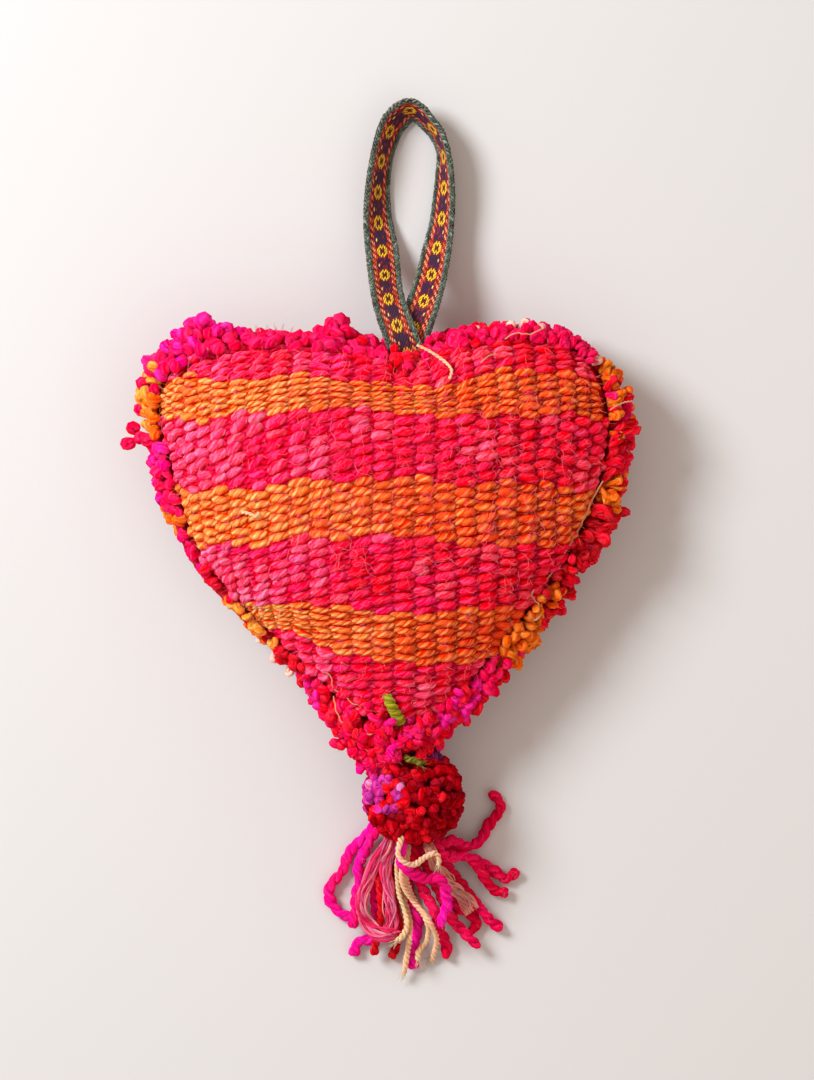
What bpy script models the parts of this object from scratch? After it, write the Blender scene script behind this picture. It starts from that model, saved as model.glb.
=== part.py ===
"""Woven wool heart ornament, lying on its back with its hanging loop and tassel stretched out.

+Y runs from the tassel to the hanging loop and +Z points up out of the woven front. The floor
is z = 0, and the origin is under the middle of the whole ornament. Tables and lengths here are
in millimetres; only the meshes are in metres.
"""
import math

import bmesh
import bpy
import numpy as np

MM = 0.001
CLEAR = 0.4               # air left between neighbouring pieces
FLOOR_GAP = 0.2           # air left under yarn that lies on the floor
FAR = 1000.0
SMOOTH_BELOW = 50         # degrees between faces that are shaded as one surface
FINE_STEPS = 400          # steps along a line that is only measured or read from
SEED = 11

# Stuffed heart: seam outline, then how far the two woven panels swell from the seam
HEART_MIDDLE = (2.5, 18.5)
HEART_CLEFT = (12, 87)
HEART_TIP = (10, -98)
HEART_OUTLINE = (
    HEART_CLEFT, (-5, 93.5), (-30, 97.5), (-60, 99), (-85, 96), (-104, 87), (-112.5, 71),
    (-110, 48), (-96, 0), (-77, -27), (-28, -76), (-8, -92), HEART_TIP, (30, -88),
    (48, -72), (83, -28), (100, -3), (111, 24), (116, 48), (115, 69), (109, 86),
    (95, 97), (70, 102), (45, 100), (25, 94),
)
SEAM_Z = 30
FRONT_PUFF = 44
BACK_PUFF = 34
PUFF_POWER = 2.6
PUFF_ROUND = 0.55
FRONT_RINGS = (0.975, 0.91, 0.8, 0.62, 0.36)
BACK_RINGS = (0.965, 0.87, 0.73)
FLAT_RING = 0.56          # the part of the back that lies flat on the floor
CROWN_ROUNDING = 0.7      # how soon the rings turn from the crown's circle into the heart
SPOKES = 72

# Looped fringe round the seam: width by direction from the heart's middle, in degrees
FRINGE_WIDTHS = (
    (0, 13.5), (24, 10.5), (33, 7), (73, 6.5), (100, 8), (124, 4.5), (147, 7.5), (160, 7.5),
    (180, 5), (192, 4), (232, 5.5), (253, 7.5), (265, 11), (284, 10), (312, 12), (330, 14.5),
    (347, 15.5), (360, 13.5),
)
FRINGE_TUFTS = ((108, 8, 4), (140, 6.5, 4), (164.5, 11, 2.6))   # direction, extra width, spread
FRINGE_SECTION = (
    (0.0, -0.55), (0.4, -0.95), (0.8, -0.8), (1.0, -0.3), (1.0, 0.35), (0.78, 0.85), (0.4, 1.0),
    (0.0, 0.6),
)
FRINGE_RISE = 7.2         # half the thickness of the two rows of loops
FRINGE_SEAM_GAP = 0.8
FRINGE_OPENING = (-1.0, 30.0)   # the feet of the hanging band come out between these X
LOOP_PITCH = 7.0
LOOP_RELIEF = 1.1
LOOP_SIZES = (0.7, 1.0)   # smallest and largest share of that relief

# Hanging band: centre line from the left foot over the top to the right foot, and its lean
# from standing on edge, in degrees
BAND_WIDTH = 18
BAND_THICK = 1.6
BAND_STATIONS = (
    (12.0, 96.5, 72), (9.0, 104.0, 69), (3.7, 121.0, 63), (1.0, 144.0, 66), (-1.3, 160.8, 50),
    (-1.3, 175.5, 40), (0.5, 190.3, 35), (4.4, 204.0, 39), (8.5, 211.0, 42), (14.2, 215.3, 35),
    (19.5, 213.5, 26), (23.8, 209.0, 21), (28.5, 203.2, 19), (31.8, 194.5, 16), (32.4, 183.8, 25),
    (32.1, 170.8, 34), (30.8, 157.2, 41), (28.2, 143.2, 53), (25.2, 128.8, 60), (22.0, 118.2, 66),
    (18.0, 107.0, 74), (15.0, 98.5, 80),
)
BAND_FLOOR = 0.4          # height of the band's lower edge where it lies
BAND_RISE_FROM = 163      # below this Y both legs climb to the seam
BAND_FOOT_Y = 97
LEFT_FOOT_LIFT = 34.0
RIGHT_FOOT_LIFT = 27.0
BAND_STEPS = 44

# Pompom
POMPOM_PLACE = (16.5, -128.8)
POMPOM_RADIUS = 25.0
POMPOM_TUFTS = 90
POMPOM_RELIEF = 1.7

# Green yarn that ties the pompom to the heart's point
TIE_RADIUS = 2.1
TIE_ROUTE = ((3.5, -78.5), (6.5, -85.0), (10.0, -91.5), (12.5, -96.0), (14.0, -101.5), (15.0, -107.0),
             (15.5, -112.0))
TIE_POINTS = 11
TIE_KNOT = 1.5            # swelling of the yarn at the knot
TIE_SWELLING = ((0, 0.55), (1, 1.0), (8, 1.0), (9, TIE_KNOT), (10, 1.05))   # point, share of radius
TIE_OFF_HEART = 2         # this far above the tip the yarn already passes over the fringe

# Tassel strands, from the lowest in the heap to the highest
PLIED = 3.1
FINE = 2.2
ROVING = 1.9
CORD = 1.4
STRANDS = (
    ("pink_strand_right_3", "deep_pink_yarn", PLIED, (
        (30, -152.5), (36, -157), (42, -160.5), (49, -163), (54, -166), (58.5, -169),
        (62.5, -172), (66, -171), (69, -168))),
    ("pink_strand_low_2", "deep_pink_yarn", PLIED, (
        (23, -158), (28, -167), (32.5, -175), (35, -181), (37.5, -186), (42, -188),
        (46.5, -190.5), (48.5, -195), (45.5, -199))),
    ("pink_strand_low_4", "bright_pink_yarn", PLIED, (
        (14, -158), (14, -171), (15.5, -181), (18.5, -191), (18.5, -199), (17, -206),
        (16.5, -213), (17, -217))),
    ("pink_strand_left_3", "bright_pink_yarn", PLIED, (
        (6, -157), (0.5, -168), (-3, -180), (-1, -193), (-0.5, -199.5), (-4.5, -203),
        (-9.5, -203), (-12.5, -206), (-13, -210.5))),
    ("pink_strand_left_1", "bright_pink_yarn", PLIED, (
        (-2, -144), (-9, -152), (-15.5, -159), (-19, -168), (-24, -174), (-26, -179),
        (-24.5, -184.5), (-19.5, -190), (-13, -191), (-9.5, -189))),
    ("pink_strand_right_4", "deep_pink_yarn", PLIED, (
        (27, -157), (32.5, -164), (38, -170.5), (43, -178), (47, -183), (50, -186), (53, -190),
        (56.5, -194), (61, -197))),
    ("pink_strand_right_1", "deep_pink_yarn", PLIED, (
        (28, -150), (31, -153.5), (36, -152), (41.5, -155), (46.5, -155), (51, -152), (54, -146),
        (58, -141), (60.8, -136.5), (59.5, -132), (55.5, -129))),
    ("pink_strand_low_1", "deep_pink_yarn", PLIED, (
        (20, -158.5), (25, -168), (29.5, -178), (33.5, -187.5), (37.5, -194), (42, -198.5),
        (46.5, -203), (49.5, -206))),
    ("pink_strand_low_3", "deep_pink_yarn", PLIED, (
        (17, -158.5), (18.5, -168), (22, -178), (26.5, -186), (29, -194), (31.5, -201),
        (33.5, -206), (33, -212))),
    ("red_strand_2", "red_yarn", FINE, (
        (10, -158), (7, -170), (7, -184), (10, -195), (8.5, -205), (5.5, -212))),
    ("red_strand_1", "red_yarn", FINE, (
        (3, -156), (-0.5, -165), (-0.5, -173), (0.5, -185), (-0.5, -196), (-2, -203),
        (-3, -210))),
    ("pink_strand_left_2", "bright_pink_yarn", PLIED, (
        (-3, -149), (-8, -159), (-11, -166), (-10.5, -173), (-12.5, -181), (-12, -188),
        (-14, -196))),
    ("pink_strand_right_2", "deep_pink_yarn", PLIED, (
        (29, -156), (34, -160.5), (39, -160), (44.5, -160.5), (48.5, -164.5), (52, -170),
        (55, -175), (59, -178.5), (64, -179))),
    ("salmon_roving_3", "salmon_roving", ROVING, (
        (27, -161), (33.5, -171), (39, -178), (43, -183), (46.5, -188))),
    ("salmon_roving_2", "salmon_roving", ROVING, (
        (5.5, -157), (2.5, -166), (3.5, -175), (4.5, -185), (5.5, -194), (3.5, -199))),
    ("salmon_roving_1", "salmon_roving", ROVING, (
        (2, -155), (-2.5, -163), (-6.5, -172), (-9, -179), (-9, -188), (-6, -195), (-1, -199),
        (6, -200), (11, -201))),
    ("cream_cord_4", "cream_cord", CORD, (
        (11, -158), (10.5, -171), (12.5, -184), (15, -194), (14.5, -204), (13.5, -210),
        (12, -220.6))),
    ("cream_cord_1", "cream_cord", CORD, (
        (10.5, -156), (8.5, -164), (9, -171), (9.5, -179), (12, -187), (13.5, -195), (11, -200.5),
        (8, -202.5))),
    ("cream_cord_3", "cream_cord", CORD, (
        (14, -158), (13, -166), (14, -175), (19, -185), (24, -194), (23.5, -203), (19.5, -208),
        (19, -213))),
    ("cream_cord_2", "cream_cord", CORD, (
        (12, -157), (11, -166), (11.5, -174), (16, -182), (22, -189), (26, -195), (28.5, -203),
        (26, -214))),
    ("pink_strand_top", "bright_pink_yarn", PLIED, (
        (10, -160), (13, -165), (18.5, -169), (24, -171), (29, -170), (32.5, -174), (33, -179.5),
        (34, -184.5), (31.5, -189.5), (30.5, -195))),
    ("cream_cord_5", "cream_cord", CORD, (
        (9, -157), (12.5, -162), (17.5, -163), (22, -160), (27.5, -157.5), (29.5, -161),
        (29, -164))),
)
ROOT_INSIDE = 0.6         # a strand starts this share of the way out from the pompom's middle
ROOT_LIFT = 8             # how much higher it starts there than it lies
ROOT_RUN = 34             # length over which it comes down
LAY_GAP = 0.8             # air between strands that cross
LAY_SLOPE = 0.8           # steepest climb of a strand over another
LAY_STEP = 1.0
LAY_ROUNDS = 6            # rounds of smoothing
STRAND_SPACING = 6.6      # between the points of a strand's tube
STRAND_END = 0.6          # how far a strand's end narrows
STRAND_TIP = 0.8          # length of that end, in radii

COLOURS = {               # base colour and roughness
    "woven_heart": ((0.78, 0.03, 0.11), 0.9),
    "wool_fringe": ((0.83, 0.02, 0.14), 0.9),
    "woven_band": ((0.16, 0.05, 0.05), 0.85),
    "pompom_wool": ((0.52, 0.01, 0.03), 0.92),
    "green_yarn": ((0.33, 0.36, 0.04), 0.9),
    "bright_pink_yarn": ((0.83, 0.01, 0.24), 0.88),
    "deep_pink_yarn": ((0.66, 0.01, 0.11), 0.88),
    "red_yarn": ((0.68, 0.02, 0.04), 0.9),
    "salmon_roving": ((0.78, 0.21, 0.19), 0.92),
    "cream_cord": ((0.76, 0.55, 0.36), 0.9),
}


def evenly(points, count):
    """The given number of points, spaced evenly by length along a line of points."""
    steps = np.linalg.norm(np.diff(points, axis=0), axis=1)
    run = np.concatenate([[0.0], np.cumsum(steps)])
    at = np.linspace(0.0, run[-1], count)
    return np.column_stack([np.interp(at, run, column) for column in points.T])


def through(before, start, end, beyond, steps=16):
    """Cubic stretch from start to end, leaving along before-end and arriving along start-beyond."""
    t = np.linspace(0.0, 1.0, steps, endpoint=False)[:, None]
    return 0.5 * (2 * start + (end - before) * t
                  + (2 * before - 5 * start + 4 * end - beyond) * t ** 2
                  + (3 * start - before - 3 * end + beyond) * t ** 3)


def closed_curve(knots, count):
    """Points spaced evenly round the smooth closed curve through the knots."""
    k = np.asarray(knots, float)
    n = len(k)
    loop = [through(k[i - 1], k[i], k[(i + 1) % n], k[(i + 2) % n]) for i in range(n)]
    return evenly(np.vstack(loop + [k[:1]]), count + 1)[:-1]


def open_curve(knots, count):
    """Points spaced evenly along the smooth open curve through the knots."""
    k = np.asarray(knots, float)
    k = np.vstack([2 * k[0] - k[1], k, 2 * k[-1] - k[-2]])
    line = [through(*k[i:i + 4]) for i in range(len(k) - 3)]
    return evenly(np.vstack(line + [k[-2:-1]]), count)


def line_length(points):
    """Length along a line of points."""
    return float(np.linalg.norm(np.diff(points, axis=0), axis=1).sum())


def eased(x):
    """Ramp from 0 to 1 that starts and stops gently."""
    x = np.clip(x, 0.0, 1.0)
    return x * x * (3 - 2 * x)


def swell(share, puff):
    """Height of a stuffed panel above its seam at a share of the way from middle to seam."""
    return puff * (1 - np.clip(share, 0, 1) ** PUFF_POWER) ** PUFF_ROUND


def ring_reach(full, mean, share):
    """Reach of a ring of the heart: a circle near the crown that turns into the outline."""
    return share * (mean + (full - mean) * share ** CROWN_ROUNDING)


def front_height(x, y):
    """Height of the heart's woven front at a place inside its outline."""
    outline = closed_curve(HEART_OUTLINE, FINE_STEPS) - HEART_MIDDLE
    turns = np.arctan2(outline[:, 1], outline[:, 0])
    order = np.argsort(turns)
    reach = np.hypot(*outline.T)
    offset = np.subtract((x, y), HEART_MIDDLE)
    full = np.interp(math.atan2(offset[1], offset[0]), turns[order], reach[order])
    shares = np.linspace(0, 1, FINE_STEPS)
    share = np.interp(np.hypot(*offset), ring_reach(full, reach.mean(), shares), shares)
    return SEAM_Z + swell(share, FRONT_PUFF)


def pompom_middle():
    """Centre of the pompom, which just touches the floor."""
    return np.array([*POMPOM_PLACE, POMPOM_RADIUS + POMPOM_RELIEF / 4])


def material(name):
    """Matt wool material in the piece's own colour."""
    mat = bpy.data.materials.get(name)
    if mat is None:
        colour, rough = COLOURS[name]
        mat = bpy.data.materials.new(name)
        mat.use_nodes = True
        shader = mat.node_tree.nodes["Principled BSDF"]
        shader.inputs["Base Color"].default_value = (*colour, 1)
        shader.inputs["Roughness"].default_value = rough
        shader.inputs["Metallic"].default_value = 0.0
    return mat


def add_object(name, data, mat, collection):
    """Object for one piece, with its material, in the ornament's collection."""
    obj = bpy.data.objects.new(name, data)
    data.materials.append(material(mat))
    collection.objects.link(obj)
    return obj


def mesh_from(name, bm):
    """Smooth-shaded mesh out of a bmesh whose faces are turned outwards."""
    bmesh.ops.recalc_face_normals(bm, faces=bm.faces)
    mesh = bpy.data.meshes.new(name)
    bm.to_mesh(mesh)
    bm.free()
    mesh.shade_smooth()
    mesh.set_sharp_from_angle(angle=math.radians(SMOOTH_BELOW))
    return mesh


def add_rings(bm, rings):
    """Skin over a list of rings with equal numbers of points; returns the rings of vertices."""
    loops = [[bm.verts.new(np.array(point) * MM) for point in ring] for ring in rings]
    for low, high in zip(loops, loops[1:]):
        for i in range(len(low)):
            j = (i + 1) % len(low)
            bm.faces.new((low[i], low[j], high[j], high[i]))
    return loops


def heart_cushion(collection):
    """Stuffed heart: scaled copies of the seam outline, swelling up in front and down behind."""
    offset = closed_curve(HEART_OUTLINE, SPOKES) - HEART_MIDDLE
    reach = np.hypot(*offset.T)

    def ring(share, z):
        stretch = ring_reach(reach, reach.mean(), share) / reach
        return np.column_stack([HEART_MIDDLE + offset * stretch[:, None], np.full(SPOKES, z)])

    rings = [ring(share, SEAM_Z + swell(share, FRONT_PUFF)) for share in reversed(FRONT_RINGS)]
    rings.append(ring(1.0, SEAM_Z))
    rings += [ring(share, SEAM_Z - swell(share, BACK_PUFF)) for share in BACK_RINGS]
    rings.append(ring(FLAT_RING, 0.0))
    bm = bmesh.new()
    loops = add_rings(bm, rings)
    crown = bm.verts.new(np.array([*HEART_MIDDLE, SEAM_Z + FRONT_PUFF]) * MM)
    for i in range(SPOKES):
        bm.faces.new((loops[0][i], loops[0][(i + 1) % SPOKES], crown))
    bm.faces.new(loops[-1])
    add_object("heart_cushion", mesh_from("heart_cushion", bm), "woven_heart", collection)


def fringe_width(turn):
    """Width of the fringe by direction from the heart's middle, with its long tufts."""
    turn = np.degrees(turn) % 360
    at, wide = np.array(FRINGE_WIDTHS).T
    width = np.interp(turn, at, wide)
    for middle, extra, spread in FRINGE_TUFTS:
        width += extra * np.exp(-((turn - middle) / spread) ** 2)
    return width


def room_to_pompom(points, outward):
    """How far each point can move outward before it meets the pompom."""
    offset = points - np.array(POMPOM_PLACE)
    keep_off = POMPOM_RADIUS + POMPOM_RELIEF / 2 + LOOP_RELIEF + CLEAR
    along = (offset * outward).sum(axis=1)
    inside = along ** 2 - (offset ** 2).sum(axis=1) + keep_off ** 2
    meets = (inside > 0) & (along < 0)
    return np.where(meets, -along - np.sqrt(np.abs(inside)), FAR)


def edge_fringe(collection):
    """Two rows of wool loops round the seam: a section swept round it that swells at each loop."""
    length = line_length(closed_curve(HEART_OUTLINE, FINE_STEPS))
    count = 2 * round(length / LOOP_PITCH)
    outline = closed_curve(HEART_OUTLINE, count)
    along = np.roll(outline, -1, axis=0) - np.roll(outline, 1, axis=0)
    along /= np.linalg.norm(along, axis=1)[:, None]
    outward = np.column_stack([-along[:, 1], along[:, 0]])
    if np.sum(outward * (outline - HEART_MIDDLE)) < 0:
        outward = -outward
    offset = outline - HEART_MIDDLE
    width = fringe_width(np.arctan2(offset[:, 1], offset[:, 0])) - FRINGE_SEAM_GAP
    width = np.minimum(width, room_to_pompom(outline, outward) - FRINGE_SEAM_GAP)

    low, high = FRINGE_OPENING
    at_cleft = (outline[:, 0] > low) & (outline[:, 0] < high) & (outline[:, 1] > HEART_MIDDLE[1])
    start = (np.flatnonzero(at_cleft & ~np.roll(at_cleft, -1))[0] + 1) % count
    kept = [(start + i) % count for i in range(count) if not at_cleft[(start + i) % count]]

    rng = np.random.default_rng(SEED)
    rings = []
    for i in kept:
        ring = []
        for out, up in FRINGE_SECTION:
            row = 1 if up > 0 else 0
            lump = LOOP_RELIEF * (-1) ** (i + row) * rng.uniform(*LOOP_SIZES) * min(1.0, 2 * out)
            reach = FRINGE_SEAM_GAP + out * width[i] + lump * out
            place = outline[i] + outward[i] * max(reach, FRINGE_SEAM_GAP)
            ring.append((*place, SEAM_Z + up * (FRINGE_RISE + lump)))
        rings.append(ring)
    bm = bmesh.new()
    loops = add_rings(bm, rings)
    bm.faces.new(loops[0])
    bm.faces.new(loops[-1])
    add_object("edge_fringe", mesh_from("edge_fringe", bm), "wool_fringe", collection)


def hanging_band(collection):
    """Woven band folded into a loop: a leaning strip along its centre line, given its thickness."""
    line = open_curve(BAND_STATIONS, BAND_STEPS)
    place, lean = line[:, :2], np.radians(line[:, 2])
    along = np.gradient(place, axis=0)
    along /= np.linalg.norm(along, axis=1)[:, None]
    outward = np.column_stack([-along[:, 1], along[:, 0]])
    left = np.arange(BAND_STEPS) < BAND_STEPS / 2
    foot_lift = np.where(left, LEFT_FOOT_LIFT, RIGHT_FOOT_LIFT)
    climb = eased((BAND_RISE_FROM - place[:, 1]) / (BAND_RISE_FROM - BAND_FOOT_Y))
    half = BAND_WIDTH / 2
    side = np.column_stack([outward * np.sin(lean)[:, None], np.cos(lean)])
    middle_z = BAND_FLOOR + BAND_THICK / 2 + half * np.cos(lean) + foot_lift * climb
    middle = np.column_stack([place, middle_z])

    bm = bmesh.new()
    edges = [[bm.verts.new(point * MM) for point in middle + side * offset]
             for offset in (half, 0.0, -half)]
    for one, other in zip(edges, edges[1:]):
        for i in range(BAND_STEPS - 1):
            bm.faces.new((one[i], one[i + 1], other[i + 1], other[i]))
    obj = add_object("hanging_band", mesh_from("hanging_band", bm), "woven_band", collection)
    solid = obj.modifiers.new("thickness", "SOLIDIFY")
    solid.thickness = BAND_THICK * MM
    solid.offset = 0.0


def pompom(collection):
    """Ball of clipped yarn: a sphere with a low rounded swelling at each of many even points."""
    bm = bmesh.new()
    bmesh.ops.create_icosphere(bm, subdivisions=4, radius=1.0)
    number = np.arange(POMPOM_TUFTS) + 0.5
    height = 1 - 2 * number / POMPOM_TUFTS
    turn = number * math.pi * (1 + math.sqrt(5))
    ring = np.sqrt(1 - height ** 2)
    tufts = np.column_stack([ring * np.cos(turn), ring * np.sin(turn), height])
    spread = math.sqrt(4 * math.pi / POMPOM_TUFTS) / 2
    for vert in bm.verts:
        nearest = math.acos(min(1.0, float(np.max(tufts @ np.array(vert.co)))))
        lump = POMPOM_RELIEF * (0.5 - min(1.0, (nearest / spread) ** 2))
        vert.co *= (POMPOM_RADIUS + lump) * MM
    obj = add_object("pompom", mesh_from("pompom", bm), "pompom_wool", collection)
    obj.location = pompom_middle() * MM


def tube(name, mat, points, radius, swelling, collection):
    """Round yarn as a curve object through the points, with filled ends."""
    data = bpy.data.curves.new(name, "CURVE")
    data.dimensions = "3D"
    data.bevel_depth = radius * MM
    data.bevel_resolution = 1
    data.use_fill_caps = True
    spline = data.splines.new("POLY")
    spline.points.add(len(points) - 1)
    for knot, point, fat in zip(spline.points, points, swelling):
        knot.co = (*(np.array(point) * MM), 1)
        knot.radius = fat
    spline.use_smooth = True
    return add_object(name, data, mat, collection)


def green_tie(collection):
    """Green yarn: a stitch lying on the heart's point that runs on to a knot on the pompom."""
    middle = pompom_middle()
    points = []
    for x, y in open_curve(TIE_ROUTE, TIE_POINTS):
        inside = y > HEART_TIP[1] + TIE_OFF_HEART
        over_heart = front_height(x, y) if inside else SEAM_Z + FRINGE_RISE + LOOP_RELIEF
        apart = math.hypot(x - middle[0], y - middle[1])
        keep_off = POMPOM_RADIUS + POMPOM_RELIEF + TIE_RADIUS * TIE_KNOT
        over_pompom = middle[2] + math.sqrt(max(0.0, keep_off ** 2 - apart ** 2))
        points.append([x, y, max(over_heart + TIE_RADIUS + CLEAR, over_pompom)])
    points = np.array(points)
    points[1:-1, 2] = np.maximum(points[1:-1, 2], (points[:-2, 2] + points[2:, 2]) / 2)
    swelling = np.interp(np.arange(TIE_POINTS), *zip(*TIE_SWELLING))
    tube("green_tie", "green_yarn", points, TIE_RADIUS, swelling, collection)


def laid_over(flat, radius, laid):
    """Lowest height at each point that clears the floor, the drop from the pompom and the heap."""
    run = np.arange(len(flat)) * LAY_STEP
    need = radius + FLOOR_GAP + ROOT_LIFT * (1 - eased(run / ROOT_RUN))
    for line, thick in laid:
        reach = radius + thick + LAY_GAP
        apart = ((flat[:, None, :] - line[None, :, :2]) ** 2).sum(axis=2)
        over = line[None, :, 2] + np.sqrt(np.maximum(reach ** 2 - apart, 0.0))
        need = np.maximum(need, np.where(apart < reach ** 2, over, 0.0).max(axis=1))
    return need


def settle(need):
    """Gentle line over the needed heights: slopes are limited, then steps are smoothed."""
    place = np.arange(len(need)) * LAY_STEP
    drop = LAY_SLOPE * np.abs(place[:, None] - place[None, :])
    height = (need[None, :] - drop).max(axis=1)
    for _ in range(LAY_ROUNDS):
        smooth = np.convolve(np.pad(height, 2, mode="edge"), np.array([1, 2, 3, 2, 1]) / 9, "valid")
        height = np.maximum(smooth, need)
    return height


def tassel_strands(collection):
    """Tassel strands, each laid over those before it and cut where the pompom begins."""
    middle = pompom_middle()
    laid = []
    for name, mat, radius, route in STRANDS:
        root = np.array(POMPOM_PLACE) + ROOT_INSIDE * np.subtract(route[0], POMPOM_PLACE)
        rough = open_curve((root, *route), FINE_STEPS)
        flat = evenly(rough, round(line_length(rough) / LAY_STEP))
        line = np.column_stack([flat, settle(laid_over(flat, radius, laid))])
        keep_off = POMPOM_RADIUS + POMPOM_RELIEF / 2 + radius + CLEAR
        near = np.flatnonzero(np.linalg.norm(line - middle, axis=1) < keep_off)
        line = line[near[-1] + 1:] if len(near) else line
        laid.append((line, radius))
        length = line_length(line)
        inner = max(3, round(length / STRAND_SPACING))
        tip = STRAND_TIP * radius
        at = np.concatenate([[0], np.linspace(tip, length - tip, inner), [length]])
        run = np.linspace(0, length, FINE_STEPS)
        points = np.column_stack([np.interp(at, run, column) for column in evenly(line, FINE_STEPS).T])
        swelling = np.ones(len(points))
        swelling[[0, -1]] = STRAND_END
        tube(name, mat, points, radius, swelling, collection)


def build():
    """Clear the scene's objects and make every piece of the ornament."""
    for obj in list(bpy.data.objects):
        bpy.data.objects.remove(obj, do_unlink=True)
    collection = bpy.data.collections.new("wool_heart_ornament")
    bpy.context.scene.collection.children.link(collection)
    heart_cushion(collection)
    edge_fringe(collection)
    hanging_band(collection)
    pompom(collection)
    green_tie(collection)
    tassel_strands(collection)


build()
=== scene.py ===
"""Looks of a woven wool heart ornament with its hanging band, pompom and tassel.

The ornament lies on its back on a pale floor and is seen from straight above. Lengths here are
millimetres; mesh_piece() turns them into metres. Yarn is made by tubes(): each vertex keeps where it
is on its yarn (direction round it, and millimetres along it) in "yarn" and its dye in "tint".
"""
import math
from functools import partial

import bpy
import numpy as np
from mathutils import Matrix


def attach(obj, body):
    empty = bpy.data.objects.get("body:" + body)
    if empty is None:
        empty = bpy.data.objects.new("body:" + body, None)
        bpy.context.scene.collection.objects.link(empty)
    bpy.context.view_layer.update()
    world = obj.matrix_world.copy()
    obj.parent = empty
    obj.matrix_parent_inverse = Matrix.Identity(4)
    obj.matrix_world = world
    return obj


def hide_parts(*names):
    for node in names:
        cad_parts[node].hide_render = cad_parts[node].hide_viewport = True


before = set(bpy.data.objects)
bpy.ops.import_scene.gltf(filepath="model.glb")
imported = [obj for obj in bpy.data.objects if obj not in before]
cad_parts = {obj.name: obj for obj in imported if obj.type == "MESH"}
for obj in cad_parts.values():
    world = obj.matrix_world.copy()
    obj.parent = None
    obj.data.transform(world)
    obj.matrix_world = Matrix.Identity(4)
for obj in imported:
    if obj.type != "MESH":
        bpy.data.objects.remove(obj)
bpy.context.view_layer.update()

MM = 0.001
UP = np.array([0.0, 0.0, 1.0])
SKEW = np.array([0.31, 0.52, 0.79])       # slanting direction along which no fibre runs

# Stuffed heart, as in the solids
HEART_MIDDLE = (2.5, 18.5)
HEART_CLEFT = (12, 87)
HEART_TIP = (10, -98)
HEART_OUTLINE = (
    HEART_CLEFT, (-5, 93.5), (-30, 97.5), (-60, 99), (-85, 96), (-104, 87), (-112.5, 71),
    (-110, 48), (-96, 0), (-77, -27), (-28, -76), (-8, -92), HEART_TIP, (30, -88),
    (48, -72), (83, -28), (100, -3), (111, 24), (116, 48), (115, 69), (109, 86),
    (95, 97), (70, 102), (45, 100), (25, 94),
)
SEAM_Z = 30
FRONT_PUFF = 44
BACK_PUFF = 34
PUFF_POWER = 2.6
PUFF_ROUND = 0.55
CROWN_ROUNDING = 0.7
FINE_STEPS = 720

# Cloth skin under the weave: smaller than the solid by the yarn and by what the stuffing adds
SKIN_INSET = 2.4
SKIN_FRONT = FRONT_PUFF - 6.2
SKIN_BACK = BACK_PUFF - 2.0
SKIN_FLOOR = 2.3
SPOKES = 96
FRONT_RINGS = 22
BACK_RINGS = 14
SWELL_CAP = 5.0
SINK_CAP = -0.5
CLOTH_VOXEL = 6           # grain of the mesh that the cloth simulation moves
CLOTH_PRESSURE = 4.0
CLOTH_MASS = 0.3
CLOTH_FRAMES = 20
HELD_FROM = 0.965         # share of the way out from which the cloth is held
HELD_BELOW = 1.5          # and how far over SKIN_FLOOR it is held
READ_WIDTH = 4.5
SIDES = {"front": 1, "back": -1}

# Weave: columns are the warps that each float passes over. Rows are numbered from the lower edge of
# the lowest orange stripe; STRIPE_EDGES gives the course of the stripes' edges as seen from above
COLUMN = 10.4
GRAIN = 14.4              # length of a float
BACK_COLUMN = 12.0
BACK_GRAIN = 16.0
SIDE_FROM = 75            # how far from the middle the columns begin to get closer
SIDE_CLOSER = 0.004
SIDE_SHORTER = 0.008
ROW_GAPS = (1.5, 3.6)
FLOAT_STAND = 3.5         # how far the top of a float stands off the skin
COLUMN_XS = np.arange(-115.0, 119.0)
STATIONS = 7
MIDDLE = STATIONS // 2
ALONG_FLOAT = np.sin(np.linspace(-math.pi / 2, math.pi / 2, STATIONS))
WEAVE_END = 0.985         # share of the way out at which the weave goes into the seam
STRIPE_EDGES = (
    (0, ((-60, -44), (-43, -48.5), (-32, -54.5), (-19, -57.8), (-3, -61), (12, -62.8), (30, -62.7),
         (45, -61.5))),
    (12, ((-90, -32.5), (-67, -33.5), (-45, -34.4), (-15, -36), (12, -37), (35, -37), (66, -36.5))),
    (26, ((-90, -4.5), (-70, -4.8), (-50, -2.8), (-30, -0.5), (-10, 0.3), (12, -0.8), (30, -2.2), (50, -3),
          (102, -4))),
    (38, ((-97, 24), (-80, 23.5), (-60, 26), (-40, 27.5), (-20, 30), (5, 31), (15, 30.5), (30, 28.2),
          (50, 28), (75, 26.7), (104, 24.4))),
    (51, ((-107, 58), (-90, 58), (-70, 61.5), (-45, 64.2), (-20, 65.3), (12, 63.5), (34, 62), (60, 62),
          (90, 61.3), (112, 60))),
    (62, ((-104, 80.5), (-92, 82.2), (-78, 80), (-60, 81.5), (-40, 82.4), (-25, 81.3), (-12, 79.7),
          (12, 77), (24, 75.5), (34, 78), (45, 82.2), (63, 85), (80, 85.2), (92, 84), (101, 82),
          (108, 77))),
)
STRIPES = ((0, 12), (26, 38), (51, 62))
TOP_ROWS = ((65.2, 0.33), (68.4, 0.63), (71.6, 0.85), (76, 1.0))   # row, share of the way to the seam
LOW_ROWS = (-20, 42)      # lowest row, and how far it lies below the lowest edge
EYE = (-1.25, 3000)       # Y of the camera, and how far it is above the seam

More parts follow.
